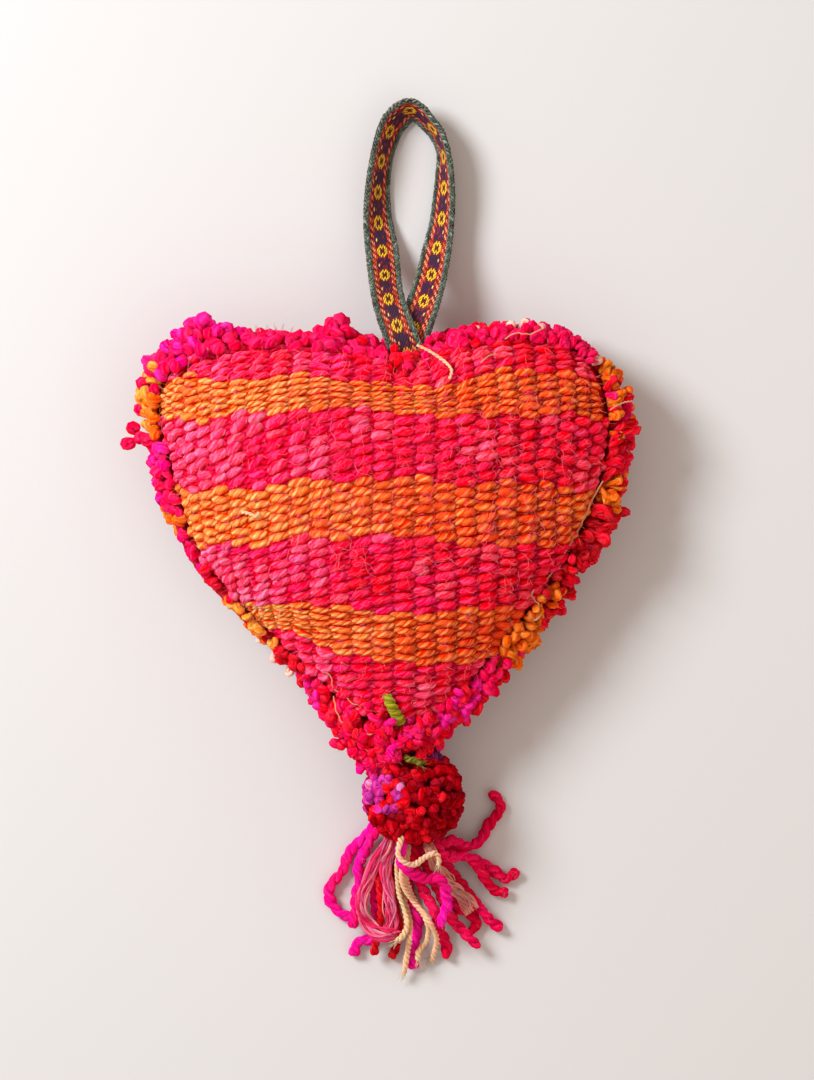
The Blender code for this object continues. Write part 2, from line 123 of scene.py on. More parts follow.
# Fringe
FRINGE_WIDTHS = (
    (0, 12), (8, 10), (16, 12), (24, 9.5), (29, 8.5), (33, 4.5), (37, 4.5), (43, 7), (73, 6.5),
    (100, 8), (124, 4.5), (133, 6.5), (147, 10), (155, 9.5), (160, 7), (165, 6), (170, 9), (181, 9),
    (186, 7), (192, 4), (232, 5.5), (250, 8), (256, 12), (265, 14), (284, 10), (312, 12), (330, 12),
    (343, 10.5), (350, 11.5), (355, 14), (360, 12),
)
FRINGE_TUFTS = ((108, 8, 4), (140, 6.5, 4))

# Rows of loops: height over the seam, share of the width, tilt up, pitch, front row or not, how far
# inside the seam they start, and the share of the width by which they start outside it instead
FRINGE_ROWS = (
    (12.5, 0.34, 62, 4.8, True, 3.4, 0.0), (8.5, 0.45, 50, 4.8, True, 1.2, 0.0),
    (4.5, 0.75, 28, 4.8, True, 0.6, 0.0), (0.0, 0.92, 8, 5.0, False, 0.4, 0.0),
    (-4.5, 1.0, -6, 5.4, False, 0.2, 0.0), (-9.0, 0.7, -25, 6.5, False, 0.6, 0.0),
    (6.0, 0.78, 42, 5.0, True, 0.0, 0.35), (0.5, 0.98, 18, 5.2, False, 0.0, 0.45),
    (-6.0, 0.95, -20, 6.0, False, 0.0, 0.4),
)
LOOP_SWELLING = np.array([0.75, 0.9, 0.99, 1.06, 1.1, 1.06, 0.99, 0.9, 0.75])
# Finger of wool that stands out at the left: places of its loops, the way they point, their lengths
FINGER = (((-121.5, 53.2, 29), (-0.75, 0.6, 0.1), 3.5), ((-123, 47.5, 28), (-1.0, -0.15, 0.1), 4.5),
          ((-116.5, 49.5, 30), (-1.0, 0.1, 0.2), 4.5), ((-112.5, 48.5, 31), (-1.0, 0.0, 0.1), 5.0))
# Cream ends and pale brushes among the loops, and knobs of yarn at the tip and the cleft
CREAM_ENDS = (
    (38, 97.5, 30), (46, 100, 31), (55, 101, 31), (63, 102.5, 32), (70, 103.5, 32), (77, 103, 31),
    (105.5, 87, 36), (-59, -47, 22), (-51, -58, 24), (-44, -64, 24),
)
PALE_FRAYS = ((-70, 99.5), (-62, 100.5), (-54, 101), (-46, 100))
TIP_KNOBS = (
    (-17.5, -85, 38), (-12.5, -91, 39), (-14, -97, 34), (-9, -102, 37), (-4, -108, 39), (-7.5, -96, 42),
    (0, -93, 45), (6, -97, 46), (2.5, -102, 44), (9, -103, 46), (7, -107, 47), (-1, -105, 42),
    (12.5, -99, 46), (20, -90, 44), (26, -88, 43), (32.5, -83, 42), (29, -92, 39), (22.5, -96, 42),
    (36, -87, 38), (41, -79, 41), (46, -80, 36), (50, -73, 37), (34, -94, 34), (17, -95, 45),
    (15, -101, 44), (-3, -88, 46), (3, -90, 48), (24, -100, 38), (18, -103, 42), (12, -95, 47),
    (-10, -110, 34), (-3, -113, 36), (-20, -90, 33), (-14, -104, 33), (28, -98, 35), (3, -97, 47),
    (-11, -111, 30), (-6.5, -114, 31), (-13, -107, 32), (-9, -104, 36), (-18.5, -104, 30),
    (-19.5, -98, 32), (-4.5, -108, 38), (-2.5, -113, 34), (2.5, -110.5, 42), (-15, -100, 34),
)
CLEFT_KNOBS = (
    (-4, 90, 40), (0, 86, 45), (5, 84, 47), (10, 83, 47), (15, 83, 47), (20, 85, 46), (25, 88, 44),
    (29, 92, 42), (-8, 94, 38), (3, 90, 43), (8, 87, 46), (13, 87, 46), (18, 89, 44), (22, 92, 42),
    (33, 95, 40), (-12, 96, 38), (26, 97, 38), (-2, 95, 38),
)

# Hanging band
BAND_WIDTH = 18
BAND_THICK = 1.6
BAND_EDGE = 2.9           # width of each rolled edge
BAND_SECTION = 22         # points across each face of the cloth
EDGE_PITCH = 1.8
EDGE_COLUMNS = 6
BAND_STATIONS = (         # place of the middle, and how far the band leans, in degrees
    (14.5, 88.0, 76), (12.0, 96.5, 72), (9.0, 104.0, 69), (3.7, 121.0, 63), (1.0, 144.0, 66),
    (-1.3, 160.8, 50), (-1.3, 175.5, 40), (0.5, 190.3, 35), (4.4, 204.0, 39), (8.5, 211.0, 42),
    (14.2, 215.3, 35), (19.5, 213.5, 26), (23.8, 209.0, 21), (28.5, 203.2, 19), (31.8, 194.5, 16),
    (32.4, 183.8, 25), (32.1, 170.8, 34), (30.8, 157.2, 41), (28.2, 143.2, 53), (25.2, 128.8, 60),
    (22.0, 118.2, 66), (18.0, 107.0, 74), (15.0, 98.5, 80), (12.0, 91.0, 84),
)
BAND_FLOOR = 0.4
BAND_RISE_FROM = 163
BAND_FOOT_Y = 97
LEFT_FOOT_LIFT = 34.0
RIGHT_FOOT_LIFT = 27.0

# Pattern of the band: seed-shaped stitches, and where each part of a repeat lies
PATTERN_START = 4.6
SEED_WIDE = 0.8
REPEAT = 15.6
SEED_LONG = REPEAT / 8
SEED_SLANT = 0.45
ORANGE_FROM = 3.5         # from here out to the edges the seeds are orange
FLOWER_REACH = 2.6
FLOWER_SQUEEZE = 0.74
HOLE_REACH = 1.15
DOT_PHASE = 6.5
DOT_SIDE = 2.4

# Pompom and the green yarn that ties it on
POMPOM_PLACE = (16.5, -128.8)
POMPOM_RADIUS = 25.0
POMPOM_RELIEF = 1.7
POMPOM_MIDDLE = np.array([*POMPOM_PLACE, POMPOM_RADIUS + POMPOM_RELIEF / 4])
POMPOM_LUMPS = 330
POMPOM_CORE = 19
CLEAR = 0.4
TIE_STITCH = ((3.5, -78.5), (6.5, -85.0), (10.0, -91.5), (12.5, -96.0))
TIE_KNOT = ((12.0, -109.0), (14.5, -110.5), (17.5, -111.0), (20.5, -112.5))

# Tassel strands, from the lowest in the heap to the highest: node, kind of yarn, radius, route
PLIED = 3.1
FINE = 2.2
ROVING = 1.9
CORD = 1.4
PLY_STAND = 0.42          # how far a ply's middle stands off the yarn's, by the yarn's radius
PLY_THICK = 0.6           # radius of a ply, by the yarn's radius
STRANDS = (
    ("pink_strand_right_3", "deep_pink_yarn", PLIED, (
        (30, -152.5), (36, -157), (42, -160.5), (49, -163), (54, -166), (58.5, -169),
        (62.5, -172), (66, -171), (69, -168))),
    ("pink_strand_low_2", "deep_pink_yarn", PLIED, (
        (23, -158), (28, -167), (32.5, -175), (35, -181), (37.5, -186), (42, -188),
        (46.5, -190.5), (48.5, -195), (45.5, -199))),
    ("pink_strand_low_4", "bright_pink_yarn", PLIED, (
        (14, -158), (14, -171), (15.5, -181), (18.5, -191), (18.5, -199), (17, -206),
        (16.5, -213), (17, -217))),
    ("pink_strand_left_3", "bright_pink_yarn", PLIED, (
        (6, -157), (0.5, -168), (-3, -180), (-1, -193), (-0.5, -199.5), (-4.5, -203),
        (-9.5, -203), (-12.5, -206), (-13, -210.5))),
    ("pink_strand_left_1", "bright_pink_yarn", PLIED, (
        (-2, -144), (-9, -152), (-15.5, -159), (-19, -168), (-24, -174), (-26, -179),
        (-24.5, -184.5), (-19.5, -190), (-13, -191), (-9.5, -189))),
    ("pink_strand_right_4", "deep_pink_yarn", PLIED, (
        (27, -157), (32.5, -164), (38, -170.5), (43, -178), (47, -183), (50, -186), (53, -190),
        (56.5, -194), (61, -197))),
    ("pink_strand_right_1", "deep_pink_yarn", PLIED, (
        (28, -150), (31, -153.5), (36, -152), (41.5, -155), (46.5, -155), (51, -152), (54, -146),
        (58, -141), (60.8, -136.5), (59.5, -132), (55.5, -129))),
    ("pink_strand_low_1", "deep_pink_yarn", PLIED, (
        (20, -158.5), (25, -168), (29.5, -178), (33.5, -187.5), (37.5, -194), (42, -198.5),
        (46.5, -203), (49.5, -206))),
    ("pink_strand_low_3", "deep_pink_yarn", PLIED, (
        (17, -158.5), (18.5, -168), (22, -178), (26.5, -186), (29, -194), (31.5, -201),
        (33.5, -206), (33, -212))),
    ("red_strand_2", "red_yarn", FINE, (
        (10, -158), (7, -170), (7, -184), (10, -195), (8.5, -205), (5.5, -212))),
    ("red_strand_1", "red_yarn", FINE, (
        (3, -156), (-0.5, -165), (-0.5, -173), (0.5, -185), (-0.5, -196), (-2, -203),
        (-3, -210))),
    ("pink_strand_left_2", "bright_pink_yarn", PLIED, (
        (-3, -149), (-8, -159), (-11, -166), (-10.5, -173), (-12.5, -181), (-12, -188),
        (-14, -196))),
    ("pink_strand_right_2", "deep_pink_yarn", PLIED, (
        (29, -156), (34, -160.5), (39, -160), (44.5, -160.5), (48.5, -164.5), (52, -170),
        (55, -175), (59, -178.5), (64, -179))),
    ("salmon_roving_3", "salmon_roving", ROVING, (
        (27, -161), (33.5, -171), (39, -178), (43, -183), (46.5, -188))),
    ("salmon_roving_2", "salmon_roving", ROVING, (
        (5.5, -157), (2.5, -166), (3.5, -175), (4.5, -185), (5.5, -194), (3.5, -199))),
    ("salmon_roving_1", "salmon_roving", ROVING, (
        (2, -155), (-2.5, -163), (-6.5, -172), (-9, -179), (-9, -188), (-6, -195), (-1, -199),
        (6, -200), (11, -201))),
    ("cream_cord_4", "cream_cord", CORD, (
        (11, -158), (10.5, -171), (12.5, -184), (15, -194), (14.5, -204), (13.5, -210),
        (12, -220.6))),
    ("cream_cord_1", "cream_cord", CORD, (
        (10.5, -156), (8.5, -164), (9, -171), (9.5, -179), (12, -187), (13.5, -195), (11, -200.5),
        (8, -202.5))),
    ("cream_cord_3", "cream_cord", CORD, (
        (14, -158), (13, -166), (14, -175), (19, -185), (24, -194), (23.5, -203), (19.5, -208),
        (19, -213))),
    ("cream_cord_2", "cream_cord", CORD, (
        (12, -157), (11, -166), (11.5, -174), (16, -182), (22, -189), (26, -195), (28.5, -203),
        (26, -214))),
    ("pink_strand_top", "bright_pink_yarn", PLIED, (
        (10, -160), (13, -165), (18.5, -169), (24, -171), (29, -170), (32.5, -174), (33, -179.5),
        (34, -184.5), (31.5, -189.5), (30.5, -195))),
    ("cream_cord_5", "cream_cord", CORD, (
        (9, -157), (12.5, -162), (17.5, -163), (22, -160), (27.5, -157.5), (29.5, -161),
        (29, -164))),
)
# Loose threads: kind, radius, height over the skin, lowest height, route
THREADS = (
    ("cord", 0.85, 6.5, 56, ((18.5, 95.4), (21.5, 94), (24.7, 92.4), (29.6, 89.2), (33, 86.4), (35.2, 83.6),
                             (35.5, 81.4), (34.5, 78.4))),
    ("cord", 0.9, 4.6, 40, ((-68, 12.5), (-64.5, 11.8), (-61, 10.4), (-59.8, 12.5))),
    ("thin", 0.35, 5.0, 43, ((111, 28), (107.5, 22), (104.6, 16.5), (102, 10), (97, 1), (91.5, -8.8),
                             (85.8, -17.3), (81, -23), (77, -27))),
    ("thin", 0.35, 6.0, 44, ((76.5, -26), (75.6, -29), (78.6, -33), (80.3, -37), (79, -40), (76.5, -41),
                             (74, -39))),
    ("thin", 0.32, 5.5, 44, ((-23, -79), (-22, -85), (-20, -90), (-16, -94.5), (-10.5, -97.5), (-6, -98),
                             (-2, -97))),
    ("thin", 0.3, 5.0, 40, ((-29, -66), (-24.5, -69), (-23, -75), (-17, -79), (-14.5, -82), (-10, -84),
                            (-7, -88), (-2, -92))),
    ("thin", 0.28, 6.0, 50, ((62.3, 98.5), (65.5, 100.8), (68.9, 101.5), (74.6, 101), (80.2, 103.5))),
    ("thin", 0.26, 6.0, 50, ((50, 86.5), (52.5, 89), (55, 90.4), (58.1, 91))),
    ("thin", 0.28, 6.0, 46, ((114.5, 63.5), (117.8, 65.5), (121.6, 67.2), (125.3, 67.8))),
)
ROOT_INSIDE = 0.6
ROOT_LIFT = 8
ROOT_RUN = 34
FLOOR_GAP = 0.2
LAY_GAP = 0.8
LAY_SLOPE = 0.8
LAY_STEP = 1.0
LAY_ROUNDS = 6
LAY_FINE = 400
ROOT_HIDDEN = 5.0         # how far a strand's root goes on into the pompom

# Stage, in metres. Lamps: name, place, size, power, colour
LAMPS = (
    ("window", (-1.15, 0.75, 1.25), 0.75, 45.0, (0.88, 0.935, 1.0)),
    ("fill", (1.2, -0.9, 1.8), 1.6, 4.0, (1.0, 0.97, 0.94)),
)
FLOOR_REACH = 6.0
FLOOR_COLOUR = (0.56, 0.547, 0.531, 1)
SKY_COLOUR = (1.0, 0.87, 0.79, 1)
SKY_STRENGTH = 0.73
CAMERA_X = 13.5           # in millimetres, as EYE is
FILM_HEIGHT = 36
FOCAL_LENGTH = 200

# Inputs of the spun wool, each with its kind and usual value, and what is the same in every wool
WOOL_INPUTS = (
    ("Tint", "Color", (0.8, 0.1, 0.2, 1)), ("Ply", "Float", 1.0), ("Ridges", "Float", 2.0),
    ("Twist", "Float", 1.1), ("Height", "Float", 0.0005), ("Painted shade", "Color", (0.5, 0.2, 0.3, 1)),
    ("Highlight", "Float", 0.15), ("Streak", "Float", 0.6), ("Flank shade", "Float", 0.0),
)
RIDGE_POWER = 0.7
FIBRE_STRETCH = 0.11
FIBRE_HEIGHT = 0.7        # of the fibres' relief, by the plies'
# painted shade on the flanks and underside of the weave's floats
FLANK_SHADE = (0.8, 0.06, 0.06, 1)
WOOL_ROUGHNESS = (0.82, 0.58)
GLOW_REACH = (1.0, 0.15, 0.1)
GLOW_SCALE = 0.004
# Wools: name, ridges round the yarn, twist, their height in metres, painted shade between the plies, how
# pale and how strong the painted highlight on the streaks is, and for the weave its glow and painted shade
# on flanks
WOOLS = {
    "weave": ("woven wool", 3.0, 1.5, 0.0011, (0.8, 0.02, 0.03), 0.7, 1.0, 0.65, 1.0),
    "wool_fringe": ("fringe wool", 2.0, 0.75, 0.0009, (0.8, 0.1, 0.15), 0.35, 0.8),
    "pompom_wool": ("pompom wool", 2.0, 0.5, 0.0012, (0.5, 0.1, 0.2), 0.25, 0.8),
    "bright_pink_yarn": ("bright pink yarn", 3.0, 1.2, 0.0003, (0.7, 0.2, 0.45), 0.25, 0.5),
    "deep_pink_yarn": ("deep pink yarn", 3.0, 1.2, 0.0003, (0.65, 0.2, 0.3), 0.22, 0.5),
    "red_yarn": ("red yarn", 3.0, 1.4, 0.0003, (0.6, 0.2, 0.25), 0.2, 0.5),
    "salmon_roving": ("salmon roving", 2.0, 0.2, 0.0002, (0.9, 0.5, 0.5), 0.25, 0.5),
    "cream_cord": ("cream cord", 3.0, 1.8, 0.0002, (0.62, 0.42, 0.25), 0.35, 0.5),
    "green_yarn": ("green yarn", 3.0, 1.6, 0.0005, (0.4, 0.4, 0.2), 0.35, 0.6),
}


def shade(red, green, blue):
    """Light value of a colour given as it shows on a display, 0 to 255 a channel."""
    display = np.array([red, green, blue]) / 255
    return np.where(display < 0.04045, display / 12.92, ((display + 0.055) / 1.055) ** 2.4)


def paint(red, green, blue):
    """Shade as a material's colour."""
    return (*shade(red, green, blue), 1)


HOT_PINK = shade(252, 2, 80)
ROSE = shade(245, 2, 34)
CRIMSON = shade(224, 2, 22)
MAGENTA = shade(250, 4, 140)
# painted highlight: pale pink for the floats, mostly on the lit left side
HIGHLIGHT_PINK = shade(255, 112, 172)
ORANGE = shade(254, 116, 8)
# painted shade: a darker orange for the floats towards the heart's right side
SHADED_ORANGE = shade(242, 64, 2)
AMBER = shade(255, 160, 46)
# deep red yarn, darker still as painted shade where the fringe lies on the heart's right side
DEEP_RED_AND_SHADE = shade(196, 2, 12)
SALMON = shade(255, 96, 134)
PALE_SALMON = shade(214, 134, 116)
CREAM = shade(244, 194, 154)
OLIVE = shade(112, 104, 22)
LIME = shade(160, 160, 26)
TAN = shade(196, 150, 110)
WINE = shade(96, 4, 12)
# dark red of the warp under the weave, darkened further as painted shade in the gaps between the floats
UNDER_DYE_AND_SHADE = shade(190, 2, 14)
# dark red of the heading, partly painted shade of the gap between the woven front and the fringe
HEADING_DYE_AND_SHADE = shade(168, 2, 14)
FINGER_DYE = shade(232, 2, 66)
CREAM_END_DYE = shade(246, 208, 184)
FRAY_DYE = shade(250, 176, 150)
ROVING_ROSE = shade(240, 34, 92)
ROVING_LIGHT = shade(255, 142, 146)
EDGE_DYE = shade(72, 84, 72)
# painted shade: dark green of the edge core seen between the stitches
EDGE_CORE_SHADE = shade(20, 36, 30)
# dark, middle and light reds of the pompom, drawn at random and more often light on the left, as painted
# light
POMPOM_LIT_AND_SHADED_REDS = (shade(148, 0, 3), shade(196, 0, 6), shade(238, 2, 18))
POMPOM_PURPLES = (shade(204, 36, 150), shade(236, 130, 186))
# purple yarn, darkened as painted shade where the heart's tip overhangs the pompom
POMPOM_SHADED_PURPLE = shade(112, 26, 90)
# painted shade: dark red of the core seen between the pompom's lumps
POMPOM_CORE_SHADE = shade(70, 0, 4)
FIBRE_PALE = np.array([0.95, 0.62, 0.6])
CURLY_DYES = (shade(255, 110, 140), shade(250, 70, 100), shade(240, 50, 80))
SHORT_DYES = (shade(255, 100, 120), shade(252, 120, 110), shade(246, 50, 80))
# Weft under the warps in the pink and in the orange, at the right and at the left: darker than the floats as
# painted shade between them, and brighter at the left as painted light
WEFT_PAINTED_SHADES = ((shade(184, 0, 12), shade(246, 0, 34)), (shade(172, 24, 2), shade(250, 60, 0)))
# Two dyes of each plied yarn, between which it drifts
YARN_DYES = {
    "deep_pink_yarn": (shade(240, 6, 84), shade(220, 2, 54)),
    "red_yarn": (shade(224, 10, 26), shade(190, 4, 14)),
    "bright_pink_yarn": (shade(255, 8, 158), shade(250, 6, 108)),
}
KNOB_DYES = (HOT_PINK, ROSE, MAGENTA, CRIMSON)
KNOB_CHANCES = (0.5, 0.82, 0.9)           # chances up to which each of the first three is drawn

# Dyes of the fringe: direction from the heart's middle from which on they count, outer and inner loops; the
# deep red at the right side is partly painted shade
FRINGE_DYES = (
    (-90, HOT_PINK, ROSE), (-76, ROSE, MAGENTA), (-63, CRIMSON, HOT_PINK), (-56, ORANGE, HOT_PINK),
    (-52, ORANGE, ORANGE), (-38, CRIMSON, ORANGE), (-33, ROSE, ORANGE), (-27, ROSE, DEEP_RED_AND_SHADE),
    (-10, CRIMSON, DEEP_RED_AND_SHADE), (-3, CRIMSON, ORANGE), (6, ROSE, CRIMSON), (12, HOT_PINK, CRIMSON),
    (17, ORANGE, ORANGE), (22.5, HOT_PINK, CRIMSON), (26, ORANGE, ORANGE),
    (34, HOT_PINK, HOT_PINK), (55, ROSE, HOT_PINK), (68, HOT_PINK, HOT_PINK), (131, MAGENTA, HOT_PINK),
    (151, HOT_PINK, AMBER), (156, AMBER, ORANGE), (165, HOT_PINK, CRIMSON), (168, MAGENTA, HOT_PINK),
    (180, HOT_PINK, HOT_PINK), (184, ORANGE, ORANGE), (189, MAGENTA, HOT_PINK), (200, CRIMSON, ROSE),
    (213, ORANGE, AMBER), (233, CRIMSON, CRIMSON), (246, MAGENTA, HOT_PINK), (252, HOT_PINK, ROSE),
)


def read_at(at, run, values):
    """Each column of values given along a line, read at other lengths along it."""
    return np.stack([np.interp(at, run, column) for column in values.T], -1)


def run_along(points):
    """Length from the first point of a line to each of its points."""
    return np.concatenate([[0.0], np.cumsum(np.linalg.norm(np.diff(points, axis=0), axis=1))])


def evenly(points, count):
    """The given number of points, spaced evenly by length along a line of points."""
    run = run_along(points)
    return read_at(np.linspace(0.0, run[-1], count), run, points)


def through(before, start, end, beyond, steps=16):
    """Cubic stretch from start to end, leaving along before-end and arriving along start-beyond."""
    t = np.linspace(0.0, 1.0, steps, endpoint=False)[:, None]
    return 0.5 * (2 * start + (end - before) * t
                  + (2 * before - 5 * start + 4 * end - beyond) * t ** 2
                  + (3 * start - before - 3 * end + beyond) * t ** 3)


def closed_curve(knots, count):
    """Points spaced evenly round the smooth closed curve through the knots."""
    k = np.asarray(knots, float)
    n = len(k)
    loop = [through(k[i - 1], k[i], k[(i + 1) % n], k[(i + 2) % n]) for i in range(n)]
    return evenly(np.vstack(loop + [k[:1]]), count + 1)[:-1]


def open_curve(knots, count):
    """Points spaced evenly along the smooth open curve through the knots."""
    k = np.asarray(knots, float)
    k = np.vstack([2 * k[0] - k[1], k, 2 * k[-1] - k[-2]])
    line = [through(*k[i:i + 4]) for i in range(len(k) - 3)]
    return evenly(np.vstack(line + [k[-2:-1]]), count)


def line_length(points):
    """Length along a line of points."""
    return float(np.linalg.norm(np.diff(points, axis=0), axis=1).sum())


def unit(vectors):
    """The vectors, each one long."""
    return vectors / np.maximum(np.linalg.norm(vectors, axis=-1, keepdims=True), 1e-9)


def eased(x):
    """Ramp from 0 to 1 that starts and stops gently."""
    x = np.clip(x, 0.0, 1.0)
    return x * x * (3 - 2 * x)


def swell(share, puff):
    """Height of a stuffed panel above its seam at a share of the way from middle to seam."""
    return puff * (1 - np.clip(share, 0, 1) ** PUFF_POWER) ** PUFF_ROUND


def ring_reach(full, mean, share):
    """Reach of a ring of the heart: a circle near the crown that turns into the outline."""
    return share * (mean + (full - mean) * share ** CROWN_ROUNDING)


def placed(name, data):
    """New object of the scene that shows the data."""
    obj = bpy.data.objects.new(name, data)
    bpy.context.scene.collection.objects.link(obj)
    return obj


class Heap:
    """Yarn gathered for one piece: its points, faces, places on the yarn and dyes."""

    def __init__(self):
        self.points, self.quads, self.corners, self.yarn, self.tint = [], [], [], [], []
        self.count = 0

    def add(self, points, quads, corners, yarn, tint):
        """Adds a mesh whose faces count from its own first point."""
        self.points.append(points)
        self.quads.append(quads + self.count)
        self.corners.append(corners + self.count)
        self.yarn.append(yarn)
        self.tint.append(tint)
        self.count += len(points)

    def piece(self, name, mat, slot, *nodes):
        """Makes the heap a piece of the ornament."""
        obj = mesh_piece(name, np.vstack(self.points), np.vstack(self.quads), np.vstack(self.corners), mat)
        put_attribute(obj.data, "yarn", "FLOAT_VECTOR", "vector", np.vstack(self.yarn))
        put_attribute(obj.data, "tint", "FLOAT_COLOR", "color", np.vstack(self.tint))
        dress(obj, slot, *nodes)


def put_attribute(mesh, name, kind, field, values):
    """Values for each vertex, for a material to read."""
    layer = mesh.attributes.new(name, kind, "POINT")
    layer.data.foreach_set(field, values.astype(np.float32).ravel())


def mesh_piece(name, points, quads, corners, mat):
    """Smooth-shaded object out of points, four-cornered faces and three-cornered faces."""
    mesh = bpy.data.meshes.new(name)
    mesh.vertices.add(len(points))
    mesh.vertices.foreach_set("co", (points * MM).astype(np.float32).ravel())
    mesh.loops.add(quads.size + corners.size)
    mesh.loops.foreach_set("vertex_index", np.concatenate([quads.ravel(), corners.ravel()]).astype(np.int32))
    mesh.polygons.add(len(quads) + len(corners))
    starts = np.concatenate([4 * np.arange(len(quads)), quads.size + 3 * np.arange(len(corners))])
    mesh.polygons.foreach_set("loop_start", starts.astype(np.int32))
    mesh.update(calc_edges=True)
    mesh.shade_smooth()
    mesh.materials.append(mat)
    return placed(name, mesh)


def dress(obj, slot, *nodes):
    """Puts the piece on its body and lets it stand for its nodes; the slot is not used."""
    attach(obj, "root")
    if nodes:
        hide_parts(*nodes)


def grid_faces(rows, columns, copies, stride):
    """Four-cornered faces of grids of rows x columns points, joined round each row."""
    i = np.arange(rows - 1)[:, None]
    j = np.arange(columns)[None, :]
    k = (j + 1) % columns
    one = np.stack([i * columns + j, i * columns + k, (i + 1) * columns + k, (i + 1) * columns + j], -1)
    return (one.reshape(1, -1, 4) + stride * np.arange(copies)[:, None, None]).reshape(-1, 4)


def pole_faces(count, first_pole, last_ring, last_pole):
    """Three-cornered faces that close the first and the last ring of a grid on a pole each."""
    j = np.arange(count)
    k = (j + 1) % count
    return np.concatenate([np.stack([np.full(count, first_pole), k, j], -1),
                           np.stack([np.full(count, last_pole), last_ring + j, last_ring + k], -1)])


def tubes(heap, paths, radii, across, sides, tint, flat=1.0, lobes=0.0, start=0.0):
    """Closed tubes along paths (copies x stations x 3): a ring of `sides` points stands square to the
    path at each station, its radius times `flat` towards `across`, and both ends close on a pole."""
    copies, stations = paths.shape[:2]
    along = unit(np.gradient(paths, axis=1))
    across = np.broadcast_to(across, paths.shape)
    toward = unit(across - (across * along).sum(-1, keepdims=True) * along)
    beside = np.cross(along, toward)
    turn = 2 * math.pi * np.arange(sides) / sides
    swing = 1 + lobes * np.cos(2 * turn)
    wide = (np.cos(turn) * swing)[:, None] * toward[:, :, None] * flat
    rings = wide + (np.sin(turn) * swing)[:, None] * beside[:, :, None]
    radii = np.broadcast_to(radii, (copies, stations))
    body = (paths[:, :, None] + radii[:, :, None, None] * rings).reshape(copies, -1, 3)
    first = paths[:, :1] - along[:, :1] * radii[:, :1, None] * 0.5
    last = paths[:, -1:] + along[:, -1:] * radii[:, -1:, None] * 0.5
    points = np.concatenate([body, first, last], axis=1)
    n = points.shape[1]
    quads = grid_faces(stations, sides, copies, n)
    caps = pole_faces(sides, n - 2, (stations - 1) * sides, n - 1)
    corners = (caps[None] + n * np.arange(copies)[:, None, None]).reshape(-1, 3)
    step = np.linalg.norm(np.diff(paths, axis=1), axis=-1)
    run = np.concatenate([np.zeros((copies, 1)), np.cumsum(step, axis=1)], axis=1)
    run = run + np.broadcast_to(start, (copies,))[:, None]
    yarn = np.empty((copies, n, 3))
    yarn[:, :, 0] = np.concatenate([np.tile(np.cos(turn), stations), [1, 1]])
    yarn[:, :, 1] = np.concatenate([np.tile(np.sin(turn), stations), [0, 0]])
    yarn[:, :, 2] = np.concatenate([np.repeat(run, sides, axis=1), run[:, :1], run[:, -1:]], axis=1)
    tint = np.broadcast_to(tint, (copies, stations, 4))
    dye = np.concatenate([np.repeat(tint, sides, axis=1), tint[:, :1], tint[:, -1:]], axis=1)
    heap.add(points.reshape(-1, 3), quads, corners, yarn.reshape(-1, 3), dye.reshape(-1, 4))


def dyed(colour, ply=1.0):
    """Colour with how clearly the yarn's plies show, as the tint's four values."""
    colour = np.asarray(colour, float)
    return np.concatenate([colour, np.full((*colour.shape[:-1], 1), ply)], axis=-1)


def blend_colours(one, other, share):
    """Colours between one and the other, by a share for each copy."""
    share = np.asarray(share)[..., None]
    return one * (1 - share) + other * share


def uneven(colours, rng, light=0.12, red=0.03):
    """Each copy's colour a little lighter or darker and a little redder or bluer than dyed."""
    bright = np.exp(light * rng.standard_normal((*colours.shape[:-1], 1)))
    shift = 1 + red * rng.standard_normal(colours.shape)
    return np.clip(colours * bright * shift, 0.0, 0.95)


def feed(tree, socket, value):
    """Sets a socket to a value, or links it to another node's output."""
    value = getattr(value, "socket", value)
    if isinstance(value, bpy.types.NodeSocket):
        tree.links.new(value, socket)
    else:
        socket.default_value = value


def node(tree, kind, inputs=(), **fields):
    """Shader node with its fields set and its inputs given as values or as other nodes' outputs."""
    made = tree.nodes.new(kind)
    for field, value in fields.items():
        setattr(made, field, value)
    for key, value in (inputs.items() if isinstance(inputs, dict) else enumerate(inputs)):
        feed(tree, made.inputs[key], value)
    return made


def maths(tree, operation, *inputs):
    """What a Math node makes of values."""
    return Value(tree, node(tree, "ShaderNodeMath", inputs, operation=operation).outputs[0])


def mixed(tree, share, one, other, how="MIX"):
    """Colour between one and the other by a share."""
    made = node(tree, "ShaderNodeMix", data_type="RGBA", blend_type=how)
    for key, value in ((0, share), (6, one), (7, other)):
        feed(tree, made.inputs[key], value)
    return made.outputs[2]


class Value:
    """Node's output that is reckoned with as a number is, each step a Math node."""

    def __init__(self, tree, socket):
        self.tree, self.socket = tree, socket

    def by(self, operation, *others):
        """What a Math node makes of this value and others."""
        return maths(self.tree, operation, self, *others)

    def ramp(self, low, high, start, end):
        """Value that goes from start to end as this one goes from low to high."""
        made = node(self.tree, "ShaderNodeMapRange", [self, low, high, start, end])
        return Value(self.tree, made.outputs[0])

    def __add__(self, other):
        return self.by("ADD", other)

    def __sub__(self, other):
        return self.by("SUBTRACT", other)

    def __rsub__(self, other):
        return maths(self.tree, "SUBTRACT", other, self)

    def __mul__(self, other):
        return self.by("MULTIPLY", other)

    def __truediv__(self, other):
        return self.by("DIVIDE", other)

    def __mod__(self, other):
        return self.by("FLOORED_MODULO", other)

    def __pow__(self, other):
        return self.by("POWER", other)

    def __gt__(self, other):
        return self.by("GREATER_THAN", other)

    def __lt__(self, other):
        return self.by("LESS_THAN", other)


def yarn_place(tree):
    """The three values of "yarn", where a point is on its yarn."""
    place = node(tree, "ShaderNodeAttribute", attribute_name="yarn").outputs["Vector"]
    return [Value(tree, part) for part in node(tree, "ShaderNodeSeparateXYZ", [place]).outputs]


